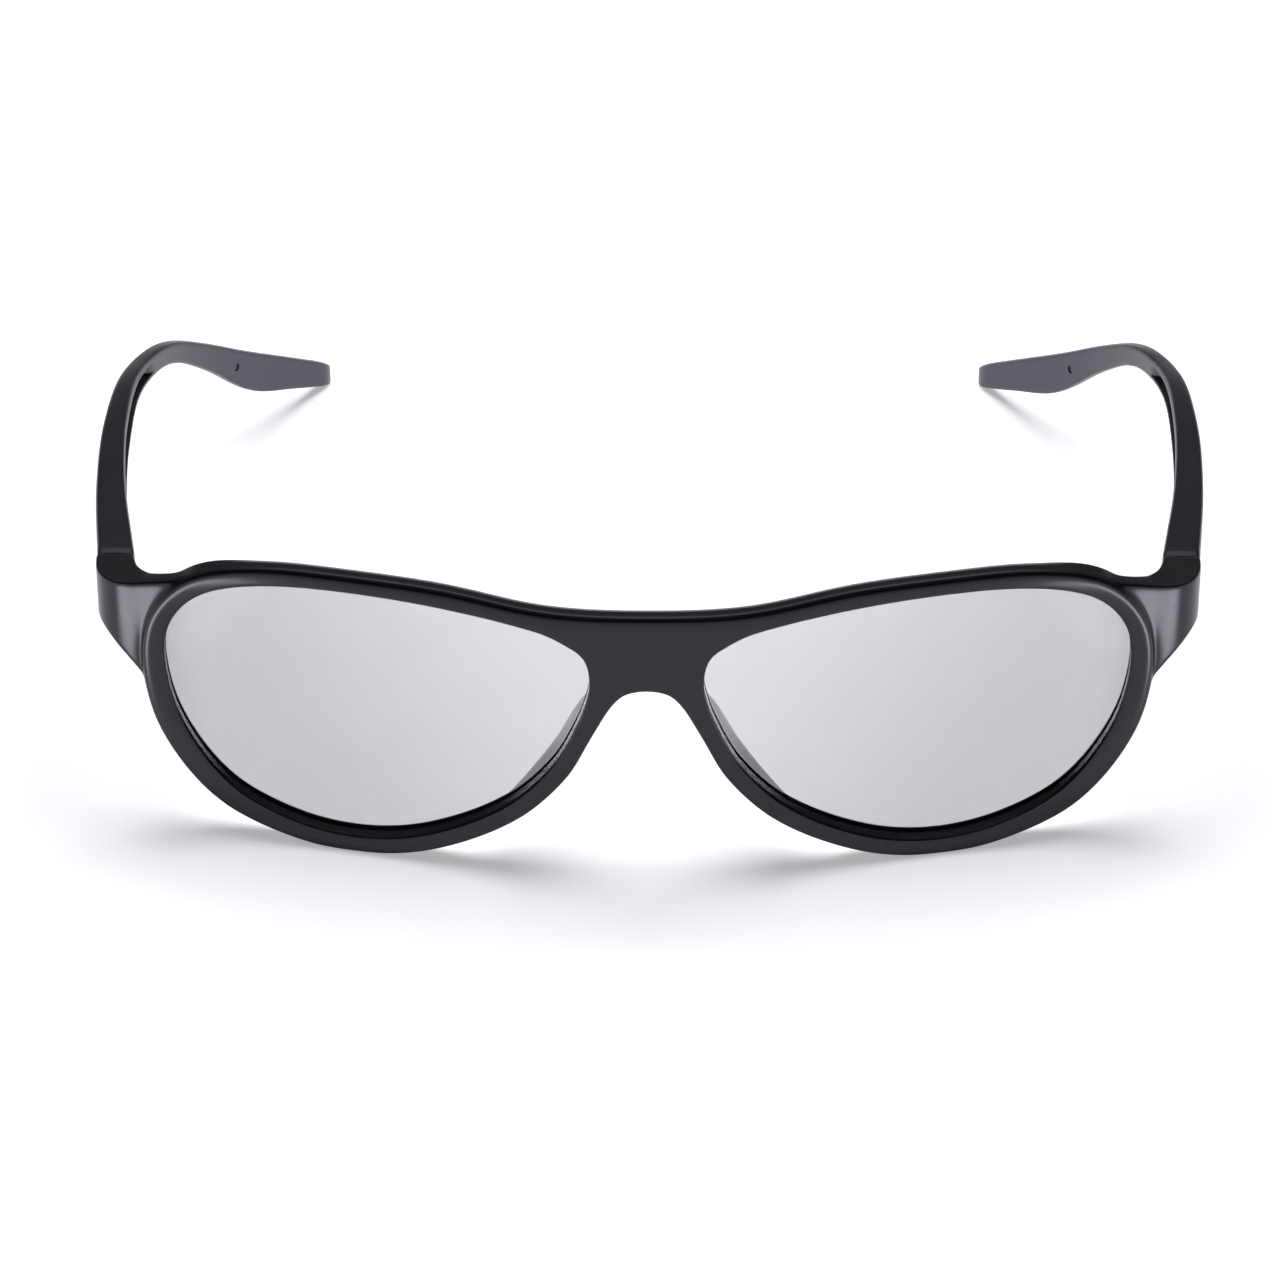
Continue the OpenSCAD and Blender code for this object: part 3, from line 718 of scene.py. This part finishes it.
    def between(self, way, steps):
        """The way's stations with smooth ones between them."""
        stations = []
        for k in range(len(way) - 1):
            near = [way[min(len(way) - 1, max(0, k + j))] for j in NEIGHBOURS]
            for step in range(steps):
                stations.append(tuple(
                    hermite(b, c, (c - a) * 0.5, (d - b) * 0.5, step / steps)
                    for a, b, c, d in zip(*near)))
        return stations + [way[-1]]

    def row_share(self, row, count, height, edge):
        """Rows lie close to the edges and evenly between them."""
        if row in (0, count - 1):
            return row / (count - 1)
        near = edge / height
        return mix(near, 1 - near, (row - 1) / (count - 3))

    def hinge_cuts(self, context, shape):
        h = context.scene.glasses_hinge
        stack = Stack(context, shape)
        relief, knuckles, bores = bmesh.new(), bmesh.new(), bmesh.new()
        for hinge in HINGES.values():
            rod(relief, hinge, h.knuckle + 2 * h.clearance, stack.temple - h.gap - h.step,
                stack.upper + h.step)
            rod(knuckles, hinge, h.knuckle, stack.low, stack.temple - h.gap, h.edge)
            rod(knuckles, hinge, h.knuckle, stack.upper, stack.top, h.edge)
            rod(bores, hinge, h.bore, stack.low + BORE_SKIN, stack.top - h.roof)
            rod(bores, hinge, h.head_bore, stack.low - OVERSHOOT, stack.low + HEAD_SKIN)
        return [("DIFFERENCE", relief), ("UNION", knuckles), ("DIFFERENCE", bores)]


class GLASSES_OT_temples(bpy.types.Operator):
    """Builds the two temples with their cored insides, knuckles and ejector marks"""

    bl_idname = "glasses.temples"
    bl_label = "Temples"

    def execute(self, context):
        self.shape = FrontShape(context)
        self.t = context.scene.glasses_temple
        self.h = context.scene.glasses_hinge
        t = self.t
        main = (t.height, t.neck_height, t.paddle_height, t.tip_height, t.tip_height)
        self.heights = [mix(main[k], main[k + 1], part) for k, part in TEMPLE_HEIGHTS]
        bm = start_mesh()
        swept = sweep(bm, [self.ring(s) for s in self.shares()])
        for ring, ahead in zip(swept, swept[1:]):
            crease(bm, ring, ahead, CORE_EDGES, CORE_CREASE)
        bm.faces.new(swept[0])
        bm.faces.new(swept[-1])
        cuts = self.hinge_cuts(context)
        for mesh in [bm] + [c for _, c in cuts]:
            tidy(mesh)
        left = piece_from(bm, "left_temple_arm")
        finish_solid(left, cuts)
        right = self.mirrored(left, "right_temple_arm")
        for side, obj in (("left", left), ("right", right)):
            dress(obj, "moulded_temple", "temple_plastic", side + "_temple_arm",
                  side + "_temple")
        return {"FINISHED"}

    def mirrored(self, obj, name):
        """The same finished mesh on the other side."""
        bm = bmesh.new()
        bm.from_mesh(obj.data)
        bmesh.ops.scale(bm, vec=(-1, 1, 1), verts=bm.verts[:])
        bmesh.ops.reverse_faces(bm, faces=bm.faces[:])
        other = piece_from(bm, name)
        shade(other)
        return other

    def value(self, at, column):
        """One column of the temple's way at a share of its length."""
        k = max(i for i, row in enumerate(TEMPLE_WAY[:-1]) if row[0] <= at or i == 0)
        rows = [(row[0], high if column == HEIGHT else row[column])
                for row, high in zip(TEMPLE_WAY, self.heights)]
        last = len(rows) - 1

        def rise(i):
            i = min(max(i, 0), last - 1)
            return (rows[i + 1][1] - rows[i][1]) / (rows[i + 1][0] - rows[i][0])

        def slope(i):
            before = rows[max(i, 1)][0] - rows[max(i, 1) - 1][0]
            after = rows[min(i, last - 1) + 1][0] - rows[min(i, last - 1)][0]
            return (rise(i - 1) * after + rise(i) * before) / (before + after)

        span = rows[k + 1][0] - rows[k][0]
        return hermite(rows[k][1], rows[k + 1][1], slope(k) * span, slope(k + 1) * span,
                       (at - rows[k][0]) / span)

    def outer(self, at):
        t = self.t
        return Vector((self.shape.hinge_outer + t.bow * self.value(at, BOW)
                       - t.tip_inset * self.value(at, INSET),
                       mix(HINGE.y + self.h.butt_gap / 2, HINGE.y + t.length, at)))

    def inward(self, at):
        """From the temple's outside to its inside, square to the butt at the hinge."""
        way = self.outer(min(1, at + WAY_STEP)) - self.outer(max(0, at - WAY_STEP))
        way.normalize()
        return Vector((-way.y, way.x * ease(at / SQUARE_RUN))).normalized()

    def thick(self, at):
        return mix(self.t.thickness, self.t.tip_thickness, self.value(at, THINNING))

    def middle(self, at):
        t, top = self.t, self.shape.temple_top
        drop = top - t.tip_height + self.shape.sizes.foot_flat + t.tip_settle
        return top - drop * self.value(at, DROP) - self.value(at, HEIGHT) / 2

    def shares(self):
        """Places of the sections, closer at the butt, the recess's ends and the tip."""
        t = self.t
        plain = [mix(a[0], b[0], step / WAY_PARTS) for a, b in zip(TEMPLE_WAY, TEMPLE_WAY[1:])
                 for step in range(WAY_PARTS)]
        marks = [(edge + t.core_ramp * step / RAMP_STEPS) / t.length
                 for edge in (t.core_start, t.core_end - t.core_ramp)
                 for step in range(RAMP_STEPS + 1)]
        tips = [1 - t.tip_round / t.length * (1 - math.sin(math.pi / 2 * step / TIP_STEPS))
                for step in range(TIP_STEPS + 1)]
        butt = [0.0, self.shape.sizes.butt_round / t.length]
        butt += [t.dip_run / t.length * step for step in DIP_STEPS]
        kept = [s for s in plain if WAY_STEP < s < tips[0] - SECTION_SPARE
                and min(abs(s - m) for m in marks) > SECTION_SPARE]
        return sorted(butt + kept + marks + tips)

    def ring(self, at):
        t = self.t
        outer, n = self.outer(at), self.inward(at)
        along = at * t.length
        tip = max(0.0, (along - t.length + t.tip_round) / t.tip_round)
        scale = max(TIP_LEAST, math.sqrt(max(0.0, 1 - tip * tip)))
        thick, height = self.thick(at), self.value(at, HEIGHT) * mix(TIP_FALL, 1, scale)
        inset = self.shape.sizes.butt_round if at == 0 else 0.0
        depth, half = thick * scale - 2 * inset, height / 2 - inset
        start = (thick - depth) / 2
        r = min(t.edge_round, depth / ROUND_LIMIT)
        core = t.core_depth * min(ease((along - t.core_start) / t.core_ramp),
                                  ease((t.core_end - along) / t.core_ramp))
        lip = max(half / 2, half - t.core_lip)
        floor = lip - min(CORE_SLOPE, lip / 3)
        bend = r * BEND_SHARE
        near = half - min(2 * r, half * FLAT_LIMIT)
        upper = [(0, near), (0, half - r), (bend, half - bend), (r, half), (depth - r, half),
                 (depth - bend, half - bend), (depth, half - r), (depth, lip),
                 (depth - core, floor)]
        lower = [(across, -up) for across, up in reversed(upper)]
        middle = self.middle(at)
        dip = t.butt_dip * (1 - ease(along / t.dip_run))
        places = []
        for across, up in lower[-1:] + upper + lower[:-1]:
            p = outer + n * (start + across)
            up -= dip * ease(up / half)
            places.append(Vector((p.x, p.y, max(0.0, middle + up))))
        return places

    def hinge_cuts(self, context):
        h, t = self.h, self.t
        stack = Stack(context, self.shape)
        relief, knuckle, bore, mark = bmesh.new(), bmesh.new(), bmesh.new(), bmesh.new()
        wide = h.knuckle + 2 * h.clearance
        rod(relief, HINGE, wide, stack.low - OVERSHOOT, stack.temple + h.step)
        rod(relief, HINGE, wide, stack.temple_top - h.step, stack.top + h.gap)
        rod(knuckle, HINGE, h.knuckle, stack.temple, stack.temple_top, h.edge)
        rod(bore, HINGE, h.bore, stack.temple - h.gap / 2, stack.temple_top + h.gap / 2)
        n = self.inward(t.mark_share)
        centre = self.outer(t.mark_share) + n * self.thick(t.mark_share)
        rod(mark, Vector((0, 0)), t.mark_diameter, -t.mark_depth, t.mark_depth)
        turn = Vector((n.x, n.y, 0)).to_track_quat("Z", "Y").to_matrix().to_4x4()
        bmesh.ops.transform(
            mark, verts=mark.verts[:],
            matrix=Matrix.Translation((centre.x, centre.y, self.middle(t.mark_share))) @ turn)
        return [("DIFFERENCE", relief), ("UNION", knuckle), ("DIFFERENCE", bore),
                ("DIFFERENCE", mark)]


class GLASSES_OT_lenses(bpy.types.Operator):
    """Builds the three bonded sheets of each lens"""

    bl_idname = "glasses.lenses"
    bl_label = "Lens sheets"

    def execute(self, context):
        shape = FrontShape(context)
        lens = context.scene.glasses_lens
        reach = lens.groove - lens.clearance
        outline = [p + n * reach for p, n in zip(shape.opening, shape.normals)]
        depth = lens.recess
        for sheet, finish, thickness in (("retarder_film", "clear_film", lens.retarder),
                                         ("polarising_film", "grey_film", lens.polariser),
                                         ("carrier_sheet", "clear_sheet", lens.carrier)):
            for side, sign in SIDES:
                bm = self.sheet(shape, outline, depth, thickness)
                bmesh.ops.scale(bm, vec=(sign, 1, 1), verts=bm.verts[:])
                tidy(bm)
                obj = piece_from(bm, side + "_" + sheet + "_face")
                shade(obj)
                dress(obj, finish, sheet, "front", side + "_" + sheet)
            depth += thickness + lens.bond
        return {"FINISHED"}

    def sheet(self, shape, outline, depth, thickness):
        """A sheet cut to the groove, in rings from its edge to its middle, bent to the wrap."""
        centre = sum(outline, Vector((0, 0))) / len(outline)
        bm = bmesh.new()
        rings = [[shape.place(mix(centre, p, size), depth) for p in outline]
                 for size in SHEET_RINGS]
        swept = sweep(bm, rings)
        bm.faces.new(swept[-1])
        made = bmesh.ops.extrude_face_region(bm, geom=bm.faces[:], use_keep_orig=True)["geom"]
        bmesh.ops.translate(bm, vec=(0, thickness, 0), verts=of_kind(made, bmesh.types.BMVert))
        return bm


class GLASSES_OT_pins(bpy.types.Operator):
    """Finishes the two hinge pins"""

    bl_idname = "glasses.pins"
    bl_label = "Hinge pins"

    def execute(self, context):
        for side, _ in SIDES:
            pin = frame["nodes"][side + "_hinge_pin"]
            pin.data.materials.clear()
            pin.data.materials.append(bpy.data.materials["drawn_steel"])
        return {"FINISHED"}


class Nodes:
    """A short way to add nodes to a tree and to link them."""

    def __init__(self, tree):
        self.tree = tree

    def fill(self, sockets, values):
        """Links the values that are sockets, and writes the others as constants."""
        for key, value in dict(values).items():
            if isinstance(value, bpy.types.NodeSocket):
                self.tree.links.new(value, sockets[key])
            else:
                sockets[key].default_value = value

    def add(self, kind, inputs=(), **settings):
        node = self.tree.nodes.new("ShaderNode" + kind)
        for key, value in settings.items():
            setattr(node, key, value)
        self.fill(node.inputs, inputs)
        return node

    def maths(self, operation, *values):
        return self.add("Math", enumerate(values), operation=operation).outputs[0]

    def ranged(self, value, start, end, low=0.0, high=1.0, kind="LINEAR"):
        """Takes a value between start and end to one between low and high."""
        return self.add("MapRange", {"Value": value, "From Min": start, "From Max": end,
                                     "To Min": low, "To Max": high},
                        interpolation_type=kind).outputs["Result"]

    def blend(self, part, first, second):
        return self.add("Mix", {0: part, 6: first, 7: second}, data_type="RGBA").outputs[2]

    def noise(self, vector, scale, detail, roughness=0.5):
        return self.add("TexNoise", {"Vector": vector, "Scale": scale, "Detail": detail,
                                     "Roughness": roughness}).outputs["Fac"]

    def place(self):
        return self.add("TexCoord").outputs["Object"]

    def axes(self, vector):
        return self.add("SeparateXYZ", {0: vector}).outputs

    def rays(self):
        """One for what is seen, also through the lenses, and one for what is reflected."""
        ray = self.add("LightPath").outputs
        seen = self.maths("MAXIMUM", ray["Is Camera Ray"], ray["Is Transmission Ray"])
        return seen, ray["Is Glossy Ray"]


def new_group(name, given, made):
    """A node group with named inputs and outputs."""
    group = bpy.data.node_groups.new(name, "ShaderNodeTree")
    for way, sockets in (("INPUT", given), ("OUTPUT", made)):
        for label, kind in sockets.items():
            group.interface.new_socket(label, in_out=way, socket_type="NodeSocket" + kind)
    return (group, Nodes(group), group.nodes.new("NodeGroupInput").outputs,
            group.nodes.new("NodeGroupOutput").inputs)


def moulded_surface():
    """Node group: fine mould texture, faint handling haze, a painted sheen towards the rear, and
    the texture's height.
    """
    group, nodes, given, made = new_group(
        "moulded_surface",
        {"Colour": "Color", "Rear painted sheen": "Color", "Haze colour": "Color",
         "Roughness": "Float", "Grain size": "Float", "Haze": "Float"},
        {"Colour": "Color", "Roughness": "Float", "Height": "Float"})
    place = nodes.place()
    grain = nodes.noise(place, given["Grain size"], *GRAIN_NOISE)
    haze = nodes.ranged(nodes.noise(place, *HAZE_NOISE), *HAZE_BAND, given["Haze"])
    # Painted sheen: towards the rear the colour blends into the lighter, bluer rear colour
    rear_sheen = nodes.ranged(nodes.axes(place)["Y"], *REAR_SHEEN_FADE, kind="SMOOTHSTEP")
    plain = nodes.blend(rear_sheen, given["Colour"], given["Rear painted sheen"])
    spread = nodes.maths("MULTIPLY_ADD", grain, *GRAIN_SPREAD)
    rough = nodes.maths("ADD", given["Roughness"], spread)
    nodes.fill(made, {"Colour": nodes.blend(haze, plain, given["Haze colour"]),
                     "Roughness": nodes.maths("MULTIPLY_ADD", haze, HAZE_DULL, rough),
                     "Height": grain})
    return group


def sheet_tone_and_reflection():
    """Node group: a painted reflection, as a soft change of density that leaves a lens lighter
    towards the nose and the top, with faint haze.
    """
    group, nodes, given, made = new_group(
        "sheet_tone_and_reflection", {"Density": "Float", "Painted reflection spread": "Float", "Haze": "Float"},
        {"Alpha": "Float", "Roughness": "Float"})
    place = nodes.place()
    axes = nodes.axes(place)
    # Painted reflection: the density falls towards the nose and the top
    aside = nodes.maths("ABSOLUTE", axes["X"])
    slant = nodes.maths("MULTIPLY_ADD", axes["Z"], LENS_REFLECTION_SLANT, aside)
    across = nodes.ranged(slant, *LENS_REFLECTION_FADE, kind="SMOOTHSTEP")
    density = nodes.maths("MULTIPLY_ADD", across, given["Painted reflection spread"], given["Density"])
    mist = nodes.noise(place, *MIST_NOISE)
    nodes.fill(made, {"Alpha": nodes.maths("MULTIPLY_ADD", mist, given["Haze"], density),
                     "Roughness": nodes.ranged(mist, *MIST_GLOSS)})
    return group


def clear_nodes(block):
    """Empties the node tree of a material or a world."""
    block.use_nodes = True
    block.node_tree.nodes.clear()
    return Nodes(block.node_tree)


def new_material(name):
    """An empty material and its nodes."""
    material = bpy.data.materials.new(name)
    return material, clear_nodes(material)


def principled(nodes, values):
    """Gives a material its one shader."""
    shader = nodes.add("BsdfPrincipled", values)
    nodes.add("OutputMaterial", {"Surface": shader.outputs[0]})


class GLASSES_OT_materials(bpy.types.Operator):
    """Makes the moulded plastic, the lens films and the steel"""

    bl_idname = "glasses.materials"
    bl_label = "Materials"

    def execute(self, context):
        f = context.scene.glasses_finish
        surface = moulded_surface()
        # The temples' rear colour is a painted sheen; the front's rear colour is its own colour
        self.plastic("moulded_front", surface, f.front_colour, f.front_colour, f.front_roughness,
                     f.front_sheen, grain=2600.0, haze=0.05, depth=0.4)
        self.plastic("moulded_temple", surface, f.temple_colour, f.tip_colour, f.temple_roughness,
                     f.temple_sheen, grain=2200.0, haze=0.09, depth=0.6)
        tone = sheet_tone_and_reflection()
        # Each film's spread sets the strength of its painted reflection
        self.film("clear_film", tone, f.clear_colour, f.clear_density, spread=0.012, haze=0.004)
        self.film("grey_film", tone, f.film_colour, f.film_density, spread=0.05, haze=0.006)
        self.film("clear_sheet", tone, f.clear_colour, f.clear_density, spread=0.01, haze=0.004)
        self.steel(f.steel_colour)
        return {"FINISHED"}

    def plastic(self, name, surface, tone, rear_sheen, roughness, sheen, grain, haze, depth):
        _, nodes = new_material(name)
        made = nodes.add("Group", {
            "Colour": (*tone, 1), "Rear painted sheen": (*rear_sheen, 1),
            "Haze colour": (*(c * HAZE_GAIN + HAZE_LIFT for c in tone), 1), "Roughness": roughness,
            "Grain size": grain, "Haze": haze}, node_tree=surface).outputs
        bump = nodes.add("Bump", {"Strength": GRAIN_STRENGTH, "Distance": depth * GRAIN_DEPTH,
                                  "Height": made["Height"]})
        principled(nodes, {"Base Color": made["Colour"], "Roughness": made["Roughness"],
                           "Normal": bump.outputs[0], "Specular Tint": (*sheen, 1),
                           "IOR": PLASTIC_IOR})

    def film(self, name, tone, shade_colour, density, spread, haze):
        material, nodes = new_material(name)
        made = nodes.add("Group", {"Density": density, "Painted reflection spread": spread, "Haze": haze},
                         node_tree=tone).outputs
        principled(nodes, {"Base Color": (*shade_colour, 1), "Alpha": made["Alpha"],
                           "Roughness": made["Roughness"], "IOR": FILM_IOR})
        material.surface_render_method = "BLENDED"

    def steel(self, tone):
        _, nodes = new_material("drawn_steel")
        drawn = nodes.add("Mapping", {"Vector": nodes.place(), "Scale": STEEL_STRETCH})
        lines = nodes.noise(drawn.outputs[0], *STEEL_NOISE)
        dark, light = ((*(min(1, c * k) for c in tone), 1) for k in STEEL_TONES)
        principled(nodes, {"Base Color": nodes.blend(lines, dark, light),
                           "Roughness": nodes.ranged(lines, *STEEL_GLOSS),
                           "Metallic": 1.0})


class GLASSES_OT_studio(bpy.types.Operator):
    """Sets up the white table, the soft lamps, the world and the camera"""

    bl_idname = "glasses.studio"
    bl_label = "Studio"

    def execute(self, context):
        scene = context.scene
        self.floor(scene)
        self.world(scene)
        self.lamp(scene, "overhead", *OVERHEAD, glossy=False)
        for side, sign in SIDES:
            place, aim = (Vector((sign * x, y, z)) for x, y, z in (PANEL_PLACE, PANEL_AIM))
            self.lamp(scene, side + "_panel", place, aim, PANEL_SIZE, PANEL_POWER, glossy=True)
        self.camera(scene)
        scene.cycles.transparent_max_bounces = CLEAR_BOUNCES
        scene.view_settings.view_transform = "Standard"
        return {"FINISHED"}

    def camera(self, scene):
        camera = bpy.data.cameras.new("camera")
        camera.lens, camera.sensor_width = CAMERA_LENS, CAMERA_SENSOR
        camera.clip_start, camera.clip_end = CAMERA_CLIP
        viewer = bpy.data.objects.new("camera", camera)
        viewer.location = CAMERA_PLACE
        viewer.rotation_euler = [math.radians(angle) for angle in CAMERA_TURN]
        scene.collection.objects.link(viewer)
        scene.camera = viewer

    def floor(self, scene):
        """A matte table that also glows for the camera and, near the glasses, for reflections."""
        bm = bmesh.new()
        bmesh.ops.create_grid(bm, x_segments=1, y_segments=1, size=FLOOR_HALF)
        obj = piece_from(bm, "table")
        material, nodes = new_material("white_table")
        tone = (*scene.glasses_finish.floor_colour, 1)
        matte = nodes.add("BsdfDiffuse", {"Color": tone})
        seen, shiny = nodes.rays()
        away = nodes.add("VectorMath", {0: nodes.place()}, operation="LENGTH").outputs["Value"]
        near = nodes.ranged(away, *FLOOR_NEAR)
        near = nodes.maths("ADD", near, nodes.ranged(away, *FLOOR_CORE))
        far = nodes.maths("MULTIPLY", seen, nodes.ranged(away, *FLOOR_FAR))
        lift = nodes.maths("MULTIPLY_ADD", shiny, near, far)
        glow = nodes.add("Emission", {"Color": tone, "Strength": lift})
        both = nodes.add("AddShader", {0: matte.outputs[0], 1: glow.outputs[0]})
        nodes.add("OutputMaterial", {"Surface": both.outputs[0]})
        obj.data.materials.append(material)

    def world(self, scene):
        """White where it is seen, and dim with a lit band overhead where it lights the part."""
        scene.world = bpy.data.worlds.new("studio")
        nodes = clear_nodes(scene.world)
        seen, shiny = nodes.rays()
        way = nodes.axes(nodes.add("TexCoord").outputs["Generated"])
        back = nodes.ranged(way["Y"], *SKY_BACK)
        level = nodes.ranged(way["Z"], *SKY_LEVEL, back)
        above = nodes.ranged(way["Z"], *SKY_ABOVE, back)
        shine = nodes.maths("MULTIPLY", shiny, SKY_SHINE)
        level = nodes.maths("MULTIPLY_ADD", above, shine, level)
        level = nodes.maths("ADD", level, nodes.ranged(way["Z"], *SKY_EDGE))
        level = nodes.add("Mix", {0: seen, 2: level, 3: 1.0}).outputs[0]
        sky = nodes.add("Background", {"Color": (*LIGHT_TINT, 1), "Strength": level})
        nodes.add("OutputWorld", {"Surface": sky.outputs[0]})

    def lamp(self, scene, name, place, target, size, power, glossy):
        lamp = bpy.data.lights.new(name, "AREA")
        lamp.shape = "RECTANGLE"
        lamp.size, lamp.size_y = size
        lamp.energy = power
        lamp.color = LIGHT_TINT
        obj = bpy.data.objects.new(name, lamp)
        obj.location = place
        obj.rotation_euler = (Vector(target) - Vector(place)).to_track_quat("-Z", "Y").to_euler()
        obj.visible_camera = False
        obj.visible_glossy = glossy
        scene.collection.objects.link(obj)


class GLASSES_PT_sidebar(bpy.types.Panel):
    """Lists the steps and their sizes"""

    bl_label = "Polarised Glasses"
    bl_idname = "GLASSES_PT_sidebar"
    bl_space_type = "VIEW_3D"
    bl_region_type = "UI"
    bl_category = "Glasses"

    def draw(self, context):
        for operator in OPERATORS:
            self.layout.operator(operator.bl_idname)
        for name in GROUPS:
            group = getattr(context.scene, name)
            box = self.layout.box()
            for key in group.__annotations__:
                box.prop(group, key)


GROUPS = {
    "glasses_front": FrontSizes,
    "glasses_lens": LensSizes,
    "glasses_temple": TempleSizes,
    "glasses_hinge": HingeSizes,
    "glasses_finish": Finishes,
}
OPERATORS = (GLASSES_OT_materials, GLASSES_OT_front, GLASSES_OT_temples, GLASSES_OT_lenses,
             GLASSES_OT_pins, GLASSES_OT_studio)
CLASSES = tuple(GROUPS.values()) + OPERATORS + (GLASSES_PT_sidebar,)


def register():
    for cls in CLASSES:
        bpy.utils.register_class(cls)
    for name, cls in GROUPS.items():
        setattr(bpy.types.Scene, name, bpy.props.PointerProperty(type=cls))


def unregister():
    for name in GROUPS:
        delattr(bpy.types.Scene, name)
    for cls in reversed(CLASSES):
        bpy.utils.unregister_class(cls)


def main():
    register()
    bpy.ops.glasses.materials()
    bpy.ops.glasses.front()
    bpy.ops.glasses.temples()
    bpy.ops.glasses.lenses()
    bpy.ops.glasses.pins()
    bpy.ops.glasses.studio()
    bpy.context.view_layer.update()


if __name__ == "__main__":
    main()
